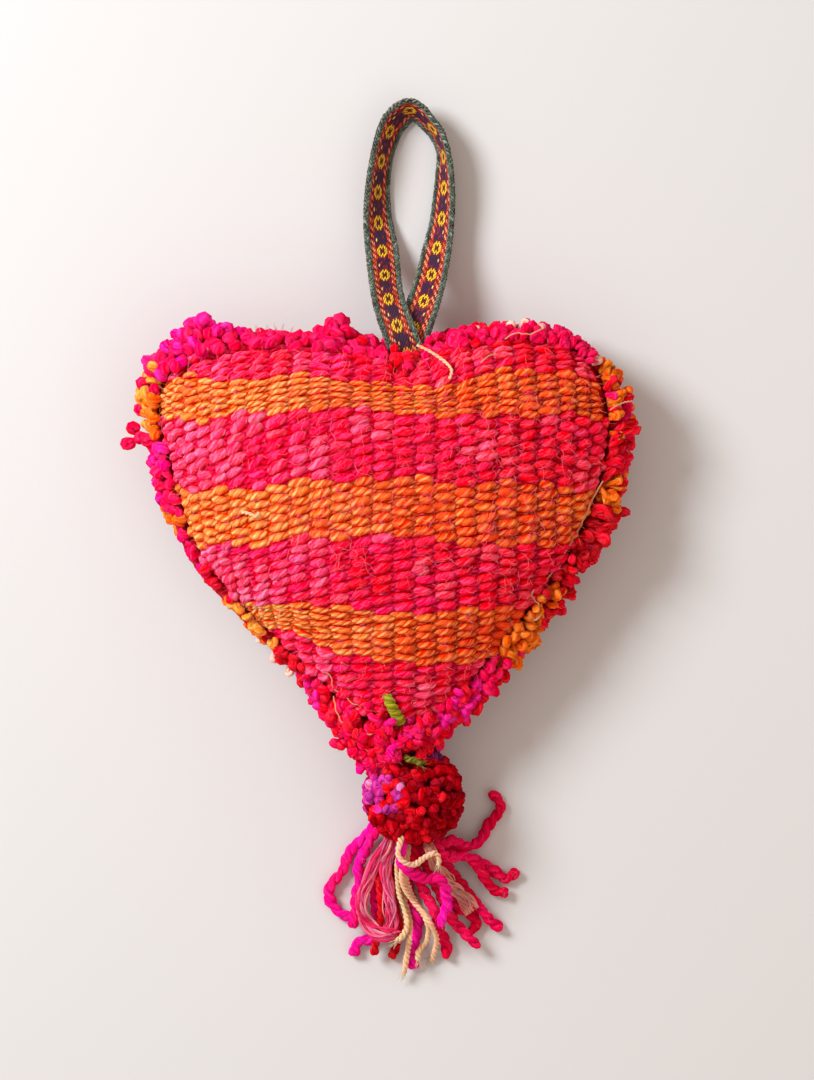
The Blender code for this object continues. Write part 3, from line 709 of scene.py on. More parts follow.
def wool_group():
    """Spun wool: plies wind round the yarn, so ridges and grooves run along it in a helix; fibres lie
    along the plies as fine streaks, with a painted highlight on the ridges; painted shade darkens the dye
    between the plies and on the flanks."""
    group = bpy.data.node_groups.new("spun wool", "ShaderNodeTree")
    new = group.interface.new_socket
    for name, kind, value in WOOL_INPUTS:
        new(name=name, in_out="INPUT", socket_type="NodeSocket" + kind).default_value = value
    for name, kind in (("Color", "Color"), ("Roughness", "Float"), ("Normal", "Vector")):
        new(name=name, in_out="OUTPUT", socket_type="NodeSocket" + kind)
    given = {socket.name: Value(group, socket) for socket in group.nodes.new("NodeGroupInput").outputs}
    tint, ply = given["Tint"], given["Ply"]
    x, y, run = yarn_place(group)
    turn = y.by("ARCTAN2", x)
    wound = run * given["Twist"]
    phase = turn * given["Ridges"] + wound
    ridge = (phase * 0.5).by("COSINE").by("ABSOLUTE") ** RIDGE_POWER
    fibre_turn = turn + wound * (ply ** 2.0 * 0.35 + 0.1)
    fibre_place = node(group, "ShaderNodeCombineXYZ", [
        fibre_turn.by("COSINE"), fibre_turn.by("SINE"), run * FIBRE_STRETCH]).outputs[0]
    fibre = Value(group, node(group, "ShaderNodeTexNoise", {
        "Vector": fibre_place, "Scale": 1.7, "Detail": 3.0, "Roughness": 0.65}).outputs["Fac"])
    spread = fibre.ramp(0.43, 0.64, 0.0, 1.0)
    shown = (1.0 - ridge) * ply
    # painted shade: the dye darkened between the plies and, a little, where no fibre streak is
    deep = mixed(group, 1.0, tint, given["Painted shade"], "MULTIPLY")
    base = mixed(group, shown, tint, deep)
    base = mixed(group, (1.0 - spread) * 0.35, base, deep)
    # painted highlight: a paler dye on the fibre streaks, mostly on the ridges
    lit = spread * given["Streak"] * (1.0 - shown * 0.8)
    paler = mixed(group, 0.04, node(group, "ShaderNodeGamma", [tint, 0.35]).outputs[0], (1, 1, 1, 1))
    colour = mixed(group, lit, base, mixed(group, given["Highlight"], tint, paler))
    # painted shade on the yarn's flanks and underside, away from its outer face
    flank_shade = x.ramp(0.4, 0.95, 1.0, 0.0) * given["Flank shade"]
    colour = mixed(group, flank_shade, colour, mixed(group, 1.0, tint, FLANK_SHADE, "MULTIPLY"))
    bump = node(group, "ShaderNodeBump", {
        "Strength": 1.0, "Distance": given["Height"], "Height": ridge * ply + fibre * FIBRE_HEIGHT})
    node(group, "NodeGroupOutput", [colour, spread.ramp(0.0, 1.0, *WOOL_ROUGHNESS), bump.outputs[0]])
    return group


WOOL = wool_group()


def principled(name, looks):
    """New material whose Principled shader takes what `looks` makes of its node tree."""
    mat = bpy.data.materials.new(name)
    mat.use_nodes = True
    tree = mat.node_tree
    shader = tree.nodes["Principled BSDF"]
    for key, value in looks(tree).items():
        feed(tree, shader.inputs[key], value)
    return mat


def wool(name, ridges, twist, height, painted_shade, pale, streak, glow=0.5, flank_shade=0.0):
    """Matt wool whose dye comes from the piece's own tint, with a little light going into it."""
    def looks(tree):
        tint = node(tree, "ShaderNodeAttribute", attribute_name="tint").outputs
        made = node(tree, "ShaderNodeGroup", {
            "Tint": tint["Color"], "Ply": tint["Alpha"], "Ridges": ridges, "Twist": twist, "Height": height,
            "Painted shade": (*painted_shade, 1), "Highlight": pale, "Streak": streak, "Flank shade": flank_shade}, node_tree=WOOL).outputs
        return {"Base Color": made["Color"], "Roughness": made["Roughness"], "Normal": made["Normal"],
                "Specular IOR Level": 0.0, "Subsurface Weight": glow, "Subsurface Radius": GLOW_REACH,
                "Subsurface Scale": GLOW_SCALE}

    return principled(name, looks)


def plain_wool(name, colour):
    """Matt cloth under the weave, mottled by a fine noise."""
    def looks(tree):
        place = node(tree, "ShaderNodeTexCoord").outputs["Object"]
        noise = node(tree, "ShaderNodeTexNoise", {"Vector": place, "Scale": 700.0, "Detail": 4.0})
        mottle = noise.outputs["Fac"]
        bump = node(tree, "ShaderNodeBump", {"Distance": 0.0006, "Height": mottle})
        base = mixed(tree, mottle, (*(colour * 0.5), 1), (*np.minimum(colour * 1.5, 1), 1))
        return {"Base Color": base, "Normal": bump.outputs[0], "Roughness": 0.9, "Specular IOR Level": 0.03}

    return principled(name, looks)


def fuzz_material(name):
    """Single fibres in their own dye."""
    def looks(tree):
        tint = node(tree, "ShaderNodeAttribute", attribute_name="tint").outputs["Color"]
        return {"Base Color": tint, "Roughness": 0.6, "Specular IOR Level": 0.1}

    return principled(name, looks)


SEAM = closed_curve(HEART_OUTLINE, FINE_STEPS)
SEAM_OFFSET = SEAM - HEART_MIDDLE
SEAM_TURNS = np.arctan2(SEAM_OFFSET[:, 1], SEAM_OFFSET[:, 0])
SEAM_REACHES = np.hypot(*SEAM_OFFSET.T)
MEAN_REACH = SEAM_REACHES.mean() - SKIN_INSET
swellings = {"front": None, "back": None}


def skin_reach(turn):
    """Reach of the cloth skin's edge by direction from the heart's middle."""
    return np.interp(turn, SEAM_TURNS, SEAM_REACHES, period=2 * math.pi) - SKIN_INSET


def polar(x, y):
    """Direction of a place from the heart's middle, and the share of the way out at which the ring
    through it lies, found by Newton's steps on ring_reach."""
    turn = np.arctan2(y - HEART_MIDDLE[1], x - HEART_MIDDLE[0])
    reach = np.hypot(x - HEART_MIDDLE[0], y - HEART_MIDDLE[1])
    full = skin_reach(turn)
    share = np.clip(reach / full, 1e-4, 1.2)
    for _ in range(6):
        gap = ring_reach(full, MEAN_REACH, share) - reach
        slope = MEAN_REACH + (1 + CROWN_ROUNDING) * (full - MEAN_REACH) * share ** CROWN_ROUNDING
        share = np.clip(share - gap / slope, 1e-4, 1.2)
    return turn, share


def rest_height(x, y, side):
    """Height of the cloth skin over a place before the stuffing pushes it out."""
    share = polar(x, y)[1]
    if side == "front":
        return SEAM_Z + swell(share, SKIN_FRONT)
    return np.maximum(SEAM_Z - swell(share, SKIN_BACK), SKIN_FLOOR)


def outwards(x, y, side, step=0.5):
    """Direction out of the cloth skin, from its slopes in X and Y."""
    slope_x = (rest_height(x + step, y, side) - rest_height(x - step, y, side)) / (2 * step)
    slope_y = (rest_height(x, y + step, side) - rest_height(x, y - step, side)) / (2 * step)
    return SIDES[side] * unit(np.stack([-slope_x, -slope_y, np.ones_like(slope_x)], -1))


def swollen(turn, share, side):
    """How far the stuffing pushes the skin out, read between the nodes of its polar grid."""
    grid = swellings[side]
    if grid is None:
        return np.zeros_like(turn)
    i = np.clip(share, 0, 1) * (grid.shape[0] - 1)
    j = (turn / (2 * math.pi)) % 1 * SPOKES
    low = np.minimum(i.astype(int), grid.shape[0] - 2)
    left = j.astype(int) % SPOKES
    up, over = i - low, j - j.astype(int)
    right = (left + 1) % SPOKES
    return ((grid[low, left] * (1 - up) + grid[low + 1, left] * up) * (1 - over)
            + (grid[low, right] * (1 - up) + grid[low + 1, right] * up) * over)


def on_skin(x, y, side):
    """Point of the stuffed skin over a place, the direction out of it, and its share of the way out."""
    turn, share = polar(x, y)
    out = outwards(x, y, side)
    rest = np.stack([x, y, rest_height(x, y, side)], -1)
    window = 1 - np.clip(share, 0, 1) ** 12
    return rest + out * (swollen(turn, share, side) * window)[..., None], out, share


def ring_places(shares):
    """Places of a polar grid: rings at the shares, spokes at even turns."""
    turn = 2 * math.pi * np.arange(SPOKES) / SPOKES
    reach = ring_reach(skin_reach(turn)[None, :], MEAN_REACH, np.asarray(shares)[:, None])
    return HEART_MIDDLE[0] + reach * np.cos(turn), HEART_MIDDLE[1] + reach * np.sin(turn)


def cushion_shell(mat):
    """Skin of the stuffed heart: rings run from the crown out to the seam and back under to the
    middle of the back; the rings gather towards the seam, where the skin turns sharply."""
    out_shares = np.sin(np.linspace(0, math.pi / 2, FRONT_RINGS + 1))[1:]
    in_shares = np.sin(np.linspace(math.pi / 2, 0, BACK_RINGS + 1))[1:-1]
    seam_x, seam_y = ring_places([1.0])
    seam = np.stack([seam_x, seam_y, np.full_like(seam_x, SEAM_Z)], -1)
    rings = np.concatenate([on_skin(*ring_places(out_shares[:-1]), "front")[0], seam,
                            on_skin(*ring_places(in_shares), "back")[0]])
    middle = [np.array([value]) for value in HEART_MIDDLE]
    poles = [on_skin(*middle, side)[0] for side in SIDES]
    points = np.concatenate([rings.reshape(-1, 3), *poles])
    quads = grid_faces(len(rings), SPOKES, 1, 0)[:, ::-1]
    corners = pole_faces(SPOKES, len(points) - 2, (len(rings) - 1) * SPOKES, len(points) - 1)[:, ::-1]
    return mesh_piece("stuffed_heart", points, quads, corners, mat)


def coordinates(obj):
    """Points of an object as its modifiers leave it, in millimetres."""
    mesh = obj.evaluated_get(bpy.context.evaluated_depsgraph_get()).data
    flat = np.empty(len(mesh.vertices) * 3, np.float32)
    mesh.vertices.foreach_get("co", flat)
    return flat.reshape(-1, 3).astype(float) / MM


def fill_with_stuffing(shell):
    """Swells the skin by a cloth simulation under pressure, pinned at the seam and where it lies on
    the floor, and keeps how far it moves straight out at each node of the two polar grids: the mean
    of the moves near the node, weighted by a bell of READ_WIDTH."""
    soft = shell.copy()
    soft.data = shell.data.copy()
    bpy.context.scene.collection.objects.link(soft)
    even = soft.modifiers.new("even", "REMESH")
    even.mode = "VOXEL"
    even.voxel_size = CLOTH_VOXEL * MM
    bpy.context.view_layer.update()
    remeshed = bpy.data.meshes.new_from_object(soft.evaluated_get(bpy.context.evaluated_depsgraph_get()))
    soft.modifiers.clear()
    soft.data = remeshed
    rest = coordinates(soft)
    share = polar(rest[:, 0], rest[:, 1])[1]
    held = np.flatnonzero((share > HELD_FROM) | (rest[:, 2] < SKIN_FLOOR + HELD_BELOW))
    soft.vertex_groups.new(name="held").add(held.tolist(), 1.0, "REPLACE")
    cloth = soft.modifiers.new("cloth", "CLOTH")
    cloth.settings.vertex_group_mass = "held"
    cloth.settings.use_pressure = True
    cloth.settings.uniform_pressure_force = CLOTH_PRESSURE
    cloth.settings.effector_weights.gravity = 0.0
    cloth.settings.mass = CLOTH_MASS
    for number in range(1, CLOTH_FRAMES + 1):
        bpy.context.scene.frame_set(number)
    moved = coordinates(soft)
    bpy.context.scene.frame_set(1)
    bpy.data.objects.remove(soft, do_unlink=True)
    x, y = ring_places(np.linspace(0, 1, FRONT_RINGS + 1))
    for side, own, cap in (("front", rest[:, 2] >= SEAM_Z, SWELL_CAP), ("back", rest[:, 2] < SEAM_Z, 0.0)):
        out = outwards(x, y, side).reshape(-1, 3)
        places = np.stack([x, y, rest_height(x, y, side)], -1).reshape(-1, 3)
        near = ((places[:, None] - rest[None, own]) ** 2).sum(-1)
        weight = np.exp(-near / (2 * READ_WIDTH ** 2))
        shift = (weight @ (moved - rest)[own]) / np.maximum(weight.sum(1, keepdims=True), 1e-6)
        swellings[side] = np.clip((shift * out).sum(1).reshape(x.shape), SINK_CAP, cap)


def edge_lines():
    """Guide rows of the weave: their numbers, and their Y at each of COLUMN_XS as seen from above."""
    numbers, lines = [], []
    for number, knots in STRIPE_EDGES:
        curve = open_curve(knots, 200)
        numbers.append(number)
        lines.append(np.interp(COLUMN_XS, *curve.T))
    top = SEAM[SEAM[:, 1] > 60]
    top = top[np.argsort(top[:, 0])]
    rim = np.interp(COLUMN_XS, *top.T) + 1.0
    for number, share in TOP_ROWS:
        numbers.append(number)
        lines.append(lines[len(STRIPE_EDGES) - 1] * (1 - share) + rim * share)
    return np.array([LOW_ROWS[0], *numbers]), np.array([lines[0] - LOW_ROWS[1], *lines])


def woven_rows(side, step):
    """Rows of the weave at every step of the row numbers: their numbers, and as rows x sections their
    points on the skin, the directions out of it, whether they are on it, and their spacing. A row is
    placed so that its floats, which stand off the skin, are seen where its guide line runs."""
    numbers, lines = edge_lines()
    rows = np.arange(LOW_ROWS[0] + 1.0, TOP_ROWS[-1][0], step)
    seen = read_at(rows, numbers, lines)
    xs = np.broadcast_to(COLUMN_XS, seen.shape)
    y = seen.copy()
    for _ in range(5):
        points, out, _ = on_skin(xs, y, side)
        stand = points + FLOAT_STAND * out
        shown = EYE[0] + (stand[..., 1] - EYE[0]) * (1 + (stand[..., 2] - SEAM_Z) / EYE[1])
        y = y + 0.7 * (seen - shown)
    points, out, share = on_skin(xs, y, side)
    gap = np.linalg.norm(np.gradient(points, axis=0), axis=-1)
    return rows, points, out, share < WEAVE_END, np.clip(gap, *ROW_GAPS)


def stretches(valid):
    """Where each stretch of a row that is on the skin begins, and where it is past its end."""
    edges = np.flatnonzero(np.diff(np.concatenate([[0], valid.astype(int), [0]])))
    return edges[::2], edges[1::2]


def joined(parts):
    """Lists of values from several parts, each kind of value joined end to end."""
    return [np.concatenate(values) for values in zip(*parts)]


def row_grains(side, column, step, length, rng):
    """Where each float lies: a few points along it, the direction out of the skin, its row's number
    and spacing. Floats of neighbouring rows stand over alternate warps, which wander a little, and
    far from the middle both the warps' spacing and the floats get shorter."""
    numbers, row_points, row_out, on, spacing = woven_rows(side, step)
    centre = np.argmin(np.abs(COLUMN_XS - HEART_CLEFT[0]))
    found = []
    wander = rng.standard_normal((4, 2))
    columns = np.arange(-int(190 / column), int(190 / column) + 1)
    for row, number in enumerate(numbers):
        valid = on[row]
        if valid.sum() < 4:
            continue
        step_along = np.linalg.norm(np.diff(row_points[row], axis=0), axis=-1)
        step_along = np.where(valid[1:] & valid[:-1], step_along, np.diff(COLUMN_XS))
        run = np.concatenate([[0], np.cumsum(step_along)])
        run -= run[centre]
        mine = columns[(columns + row) % 2 == 0] * column
        beyond = np.maximum(np.abs(mine) - SIDE_FROM, 0)
        mine = mine - np.sign(mine) * SIDE_CLOSER * beyond ** 2
        drift = sum(0.75 * a * np.sin(mine / 31 + row / 6.5 * b + n) for n, (a, b) in enumerate(wander))
        middle = mine + drift + 0.4 * rng.standard_normal(len(mine))
        reach = length / 2 * (1 + 0.1 * rng.standard_normal(len(mine)))
        reach = reach * np.maximum(1 - SIDE_SHORTER * beyond, 0.5)
        first, past = stretches(valid)
        lows, highs = run[first], run[past - 1]
        piece = np.abs(middle[:, None] - np.clip(middle[:, None], lows, highs)).argmin(axis=1)
        start, end = np.maximum(middle - reach, lows[piece]), np.minimum(middle + reach, highs[piece])
        at = 0.5 * (start + end)[:, None] + 0.5 * (end - start)[:, None] * ALONG_FLOAT
        at = at[end - start > 0.7 * reach]
        if len(at):
            near = np.interp(at[:, MIDDLE], run, spacing[row])
            face = unit(read_at(at, run, row_out[row]))
            found.append((read_at(at, run, row_points[row]), face, np.full(len(at), number), near))
    return joined(found)


def lay_floats(paths, normals, orange, left, rng):
    """Hand work in the floats: each is shortened, slipped along and beside its row, tilted and bent,
    the pink ones more than the orange ones. Gives the paths and the direction beside each float."""
    n = len(paths)
    along = unit(np.gradient(paths, axis=1))
    beside = np.cross(normals, along)
    tilt = np.where(orange, 0.07, 0.12) * rng.standard_normal(n)
    tilt = tilt + np.where(orange, 0.07, 0.12 + 0.25 * left ** 2)
    shorter = np.where(orange, 0.98, 0.93 - 0.1 * left)
    shorter = shorter * (1 + np.where(orange, 0.04, 0.07) * rng.standard_normal(n))
    aside = np.where(orange, 0.35, 0.8) * rng.standard_normal(n)
    centre = paths[:, MIDDLE, None]
    paths = centre + (paths - centre) * shorter[:, None, None] + along * aside[:, None, None]
    half_length = np.linalg.norm(paths[:, -1] - paths[:, 0], axis=-1) / 2
    slip = np.where(orange, 0.25, 0.3) * rng.standard_normal(n)
    bent = 0.3 * rng.standard_normal(n)[:, None] * np.sin(math.pi * ALONG_FLOAT)
    slant = tilt[:, None] * ALONG_FLOAT * half_length[:, None]
    return paths + beside * (slip[:, None] + bent + slant)[..., None], beside


def leftness(x):
    """Share of the way from the heart's right side, 0, to its left side, 1, where the dyes are painted paler
    as painted light.
    """
    return np.clip(0.5 - (x - HEART_MIDDLE[0]) / 130, 0, 1)


def float_dyes(x, y, left, orange, rng):
    """Dyes of the floats: they drift in soft patches, made of sines of the place, from crimson and a darker
    orange at the right, which are painted shade, to pale pink and amber at the left, which are painted
    light."""
    patch = np.sin(x / 17 + 1.3 * np.sin(y / 11)) * np.sin(y / 13 + x / 29)
    other = np.sin(x / 9 + 2.0) * np.sin(y / 8 + x / 37 + 1.0)
    loose = 0.12 * rng.standard_normal((3, len(x)))
    # painted light and shade: the pinks turn crimson towards the right and magenta and pale towards the
    # left, the oranges turn darker to the right and amber to the left
    pink = blend_colours(HOT_PINK, ROSE, np.clip(1.05 - 0.9 * left + 0.25 * patch + loose[0], 0, 1))
    pink = blend_colours(pink, MAGENTA, np.clip(0.45 * left - 0.25 + 0.3 * other + loose[1], 0, 0.4))
    pink = blend_colours(pink, CRIMSON, np.clip(0.1 + 0.35 * patch - 0.2 * left + loose[2], 0, 0.6))
    # painted highlight: share of pale pink, largest at the left where the light comes from
    pale = 0.55 * left ** 2 + 0.2 * (1 - left) ** 4 - 0.25 + 0.3 * other + loose[0]
    above_stripes = (y > 78) & (x < 20)
    pink = blend_colours(pink, HIGHLIGHT_PINK, np.clip(pale, 0, 0.55) * np.where(above_stripes, 0.3, 1.0))
    warm = blend_colours(ORANGE, SHADED_ORANGE, np.clip(0.8 - 0.75 * left + 0.3 * patch + loose[0], 0, 1))
    warm = blend_colours(warm, AMBER, np.clip(1.4 * left - 0.55 + 0.3 * other + loose[1], 0, 0.9))
    return uneven(np.where(orange[:, None], warm, pink), rng, 0.08, 0.03)


def weave(heap, side, column, step, length, rng):
    """Weft floats of a plain weave, each a spindle over one warp: along it, the radius goes as a power
    of the sine, the middle stands proud and the ends dive between the neighbours."""
    paths, normals, number, spacing = row_grains(side, column, step, length, rng)
    n = len(paths)
    places = paths[:, MIDDLE].copy()
    x, y = places[:, 0], places[:, 1]
    ragged = 0.3 * rng.standard_normal(n) + 0.3 * np.sin(x / 5.1)
    orange = within(number + ragged, *STRIPES)
    left = leftness(x)
    paths, beside = lay_floats(paths, normals, orange, left, rng)
    toward_end = np.abs(ALONG_FLOAT)
    rise = (1.2 + 0.3 * rng.standard_normal(n))[:, None] - 3.0 * toward_end ** 2.4
    if side == "back":
        rise = np.broadcast_to(0.2 - toward_end ** 2, rise.shape)
    paths = paths + normals * rise[..., None]
    radius = spacing * (np.where(orange, 1.07, 1.1) + 0.08 * rng.standard_normal(n))
    profile = (1.02 - toward_end ** 2.2) ** 0.8
    radii = radius[:, None] * profile * (1 + 0.05 * rng.standard_normal((n, STATIONS)))
    if side == "back":
        paths[..., 2] = np.maximum(paths[..., 2], radii + 0.05)
    colour = float_dyes(x, y, left, orange, rng)
    tint = np.repeat(dyed(colour)[:, None], STATIONS, axis=1)
    tint[:, :, 3] = np.where(orange, 0.8, 0.4)[:, None]
    # painted shade: each float darker towards its ends, where it dives between its neighbours, mostly in
    # green and blue
    tint[:, :, :3] *= 1 - toward_end[None, :, None] ** 3 * [0.1, 0.8, 0.75]
    tubes(heap, paths, radii, normals, 7, tint, flat=0.95, start=40 * rng.random(n))
    if side == "front":
        warp_dots(heap, paths, normals, beside, spacing, orange, rng)
    return places + normals[:, MIDDLE] * FLOAT_STAND, normals[:, MIDDLE], colour


def weft_below(side, step, mat):
    """The weft where it goes under the warps: along each row a line of yarn, deeper than its floats, dyed
    darker than them as painted shade and less dark towards the left as painted light.
    """
    numbers, row_points, row_out, on, spacing = woven_rows(side, step)
    heap = Heap()
    for row, number in enumerate(numbers):
        orange = within(np.array([number]), *STRIPES)[0]
        for low, high in zip(*stretches(on[row])):
            at = np.arange(low, high, 3)
            if len(at) < 4:
                continue
            line = row_points[row, at] + row_out[row, at] * -0.5
            radii = 0.8 * spacing[row, at] * (1 + 0.12 * np.sin(at * 0.6 + 2.0 * row))
            # painted shade between the floats, lighter towards the left as painted light
            tint = dyed(blend_colours(*WEFT_PAINTED_SHADES[int(orange)], leftness(line[:, 0])), 0.9)[None]
            tubes(heap, line[None], radii[None], row_out[row, at][None], 6, tint, start=7.0 * row)
    heap.piece("weft_below", mat, "woven_heart")


def warp_dots(heap, paths, normals, beside, gap, orange, rng):
    """Bits of the crimson warp that show between two floats, mostly in the orange."""
    seen = np.flatnonzero(rng.random(len(paths)) < np.where(orange, 0.22, 0.06))
    out = normals[seen, MIDDLE]
    place = paths[seen, MIDDLE] - beside[seen, MIDDLE] * gap[seen, None] + out * 0.9
    across = unit(paths[seen, MIDDLE + 1] - paths[seen, MIDDLE - 1])
    half = rng.uniform(0.8, 1.6, (len(seen), 1, 1))
    dots = place[:, None] + across[:, None] * np.linspace(-1, 1, 4)[None, :, None] * half
    radii = np.array([0.6, 1.0, 1.0, 0.6]) * rng.uniform(0.7, 1.1, (len(seen), 1))
    dye = dyed(uneven(np.tile(ROSE, (len(seen), 1)), rng), 0.3)
    tubes(heap, dots, radii, out[:, None], 6, dye[:, None])


def seam_frame(at):
    """Points of the seam at lengths along it, the direction out in plan, the direction from the
    heart's middle in degrees, the fringe's width there, and the seam's whole length."""
    closed = np.vstack([SEAM, SEAM[:1]])
    run = run_along(closed)
    place, ahead, behind = (read_at((at + shift) % run[-1], run, closed) for shift in (0, 4, -4))
    along = unit(ahead - behind)
    out = np.column_stack([-along[:, 1], along[:, 0]])
    if np.sum(out * (place - HEART_MIDDLE)) < 0:
        out = -out
    turn = np.degrees(np.arctan2(place[:, 1] - HEART_MIDDLE[1], place[:, 0] - HEART_MIDDLE[0])) % 360
    width = np.interp(turn, *zip(*FRINGE_WIDTHS))
    for middle, extra, spread in FRINGE_TUFTS:
        width += extra * np.exp(-((turn - middle) / spread) ** 2)
    return place, out, turn, width, run[-1]


def within(y, *bands):
    """Which heights lie in one of the bands."""
    found = np.zeros(len(y), bool)
    for low, high in bands:
        found |= (y > low) & (y < high)
    return found


def fringe_colours(turn, inner, rng):
    """Dyes of the fringe's loops, which are the ends of the weft yarns: stretches of one dye, with a
    few strays from beside them."""
    starts, outer_dyes, inner_dyes = (np.array(values) for values in zip(*FRINGE_DYES))
    turn = (turn + 90 + 1.5 * rng.standard_normal(len(turn))) % 360 - 90
    stretch = np.searchsorted(starts, turn, side="right") - 1
    inside = inner ^ (rng.random(len(turn)) < 0.16)
    colour = np.where(inside[:, None], inner_dyes[stretch], outer_dyes[stretch])
    return uneven(colour, rng, 0.08, 0.04)


def loop_paths(base, forward, sideways, length, round_end, bend, wind):
    """Loops of yarn: a leg out, half a circle across, and a leg back. The tip bends over by a share
    of the length, and the legs wind round each other by an angle for each millimetre."""
    turn = np.linspace(math.pi, 0, 5)
    aside = np.concatenate([[-0.8, -0.93], np.cos(turn), [0.93, 0.8]])
    ahead = np.concatenate([[0.0, 0.55], np.ones(5), [0.55, 0.0]])
    cap = np.concatenate([[0, 0], np.sin(turn), [0, 0]])
    leg = np.maximum(length - round_end, 0.5)
    out = leg[:, None] * ahead + round_end[:, None] * cap
    over = bend[:, None] * out * (out / length[:, None]) ** 2
    third = np.cross(forward, sideways)
    angle = (wind[:, None] * out)[..., None]
    apart = sideways[:, None] * np.cos(angle) + third[:, None] * np.sin(angle)
    return (base[:, None] + forward[:, None] * out[..., None] + third[:, None] * over[..., None]
            + apart * (round_end[:, None] * aside)[..., None])


def put_loops(heap, base, forward, roll, length, round_end, bend, radius, tint, rng, wind=0.0):
    """Loops of yarn turned by a roll about the way they point, thickest at the bend."""
    n = len(base)
    flat = unit(np.cross(forward, np.array([0.02, 0.03, 1.0])))
    third = np.cross(forward, flat)
    sideways = flat * np.cos(roll)[:, None] + third * np.sin(roll)[:, None]
    wind = wind * rng.uniform(0.6, 1.3, n)
    paths = loop_paths(base, forward, sideways, length, round_end, bend, wind)
    across = np.cross(forward, sideways)[:, None]
    swelling = LOOP_SWELLING * (1 + 0.07 * rng.standard_normal((n, len(LOOP_SWELLING))))
    tubes(heap, paths, radius[:, None] * swelling, across, 6, tint[:, None], start=30 * rng.random(n))


def loop_row(heap, total, rng, height, share, tilt, pitch, inner, inset, outset):
    """One row of the fringe. None stands where the band's feet come out, and the rows beside the woven
    front leave out the narrow stretches. At the upper right the loops fan out flatter and further."""
    count = int(total / pitch)
    at = (np.arange(count) + 0.4 * rng.standard_normal(count)) * total / count
    place, out, turn, width, _ = seam_frame(at)
    low = place[:, 1] < 86
    blocked = within(place[:, 0], (1, 23)) & (place[:, 1] > 60) & (height > -4)
    blocked |= (width < 6.5) & (share < 0.5) & low | (outset * width > 0) & (width < 8.5)
    blocked |= (height > 10) & low
    place, out, turn, width = (value[~blocked] for value in (place, out, turn, width))
    n = len(place)
    x, y = place.T
    fan = np.clip((x - 60) / 30, 0, 1) * np.clip((y + 20) / 30, 0, 1)
    outside = outset * (1 - fan)
    lean = np.where(x > 20, 0.45, 0.1) * np.clip((y + 90) / 60, -0.3, 1)
    plan = unit(out + np.column_stack([np.zeros(n), lean]) + 0.4 * rng.standard_normal((n, 2)))
    rise = np.radians(tilt * (1 - 0.5 * fan) + 18 * rng.standard_normal(n))
    forward = np.column_stack([plan * np.cos(rise)[:, None], np.sin(rise)])
    far = np.minimum(share + 0.3 * fan, 1.0)
    reach = (far - outside) * width * (1 + 0.13 * rng.standard_normal(n)) - 1.4
    length = np.maximum(reach, 3.2)
    base = np.column_stack([place + out * (outside * width - inset)[:, None], np.full(n, SEAM_Z + height)])
    base[:, 2] += 1.3 * rng.standard_normal(n)
    colour = fringe_colours(turn, np.full(n, inner), rng)
    right = np.clip((x - 30) / 50, 0, 1)
    thick = rng.uniform(1.8, 2.5, n) * np.clip(0.75 + width / 40, 0.8, 1.1) * (1 - 0.22 * right)
    top = (y > 80) & (x < 95)
    thick = thick * np.where(top, 1.25, 1.0)
    round_end = rng.uniform(0.9, 1.9, n) * (1 - 0.1 * right) * np.where(top, 0.8, 1.0)
    put_loops(heap, base, forward, rng.uniform(-1.3, 1.3, n), length, round_end,
              0.35 * rng.standard_normal(n), thick, dyed(colour, 0.8), rng, 0.3 * right)
    return base + forward * (0.9 * length)[:, None], forward, colour


def fringe(mat, rng):
    """Rows of wool loops round the seam: the front rows are short and tilt up beside the woven front,
    the back ones reach the fringe's full width. A thin heading runs in the seam itself."""
    heap = Heap()
    total = seam_frame(np.zeros(1))[4]
    roots = [loop_row(heap, total, rng, *row) for row in FRINGE_ROWS]
    place, out, *_ = seam_frame(np.linspace(0, total, 200, endpoint=False))
    core = np.column_stack([place + 0.5 * out, np.full(200, float(SEAM_Z))])
    core = np.vstack([core, core[:1]])[None]
    # heading in a dark red that is partly painted shade of the seam's gap
    tubes(heap, core, 3.4, UP, 8, dyed(HEADING_DYE_AND_SHADE, 0.3))
    roots.append(loose_knobs(heap, rng))
    base, forward, length = (np.array(values) for values in zip(*FINGER))
    n = len(FINGER)
    put_loops(heap, base, unit(forward), rng.uniform(-0.4, 0.4, n), length, np.full(n, 1.1), np.full(n, 0.1),
              np.full(n, 2.6), dyed(uneven(np.tile(FINGER_DYE, (n, 1)), rng), 0.8), rng)
    base = np.array(CREAM_ENDS, float)
    n = len(base)
    forward = np.column_stack([unit(base[:, :2] - HEART_MIDDLE), np.full(n, 0.1)])
    forward = unit(forward + 0.3 * rng.standard_normal((n, 3)))
    put_loops(heap, base, forward, rng.uniform(-0.6, 0.6, n), rng.uniform(4, 6, n), np.full(n, 1.3),
              np.zeros(n), rng.uniform(1.2, 1.7, n), dyed(np.tile(CREAM_END_DYE, (n, 1)), 0.6), rng)
    for x, y in PALE_FRAYS:
        frayed(heap, np.linspace((x, y - 4, SEAM_Z), (x, y, SEAM_Z), 6), 4.0, FRAY_DYE, rng, 14)
    heap.piece("looped_fringe", mat, "wool_fringe", "edge_fringe")
    return joined(roots)


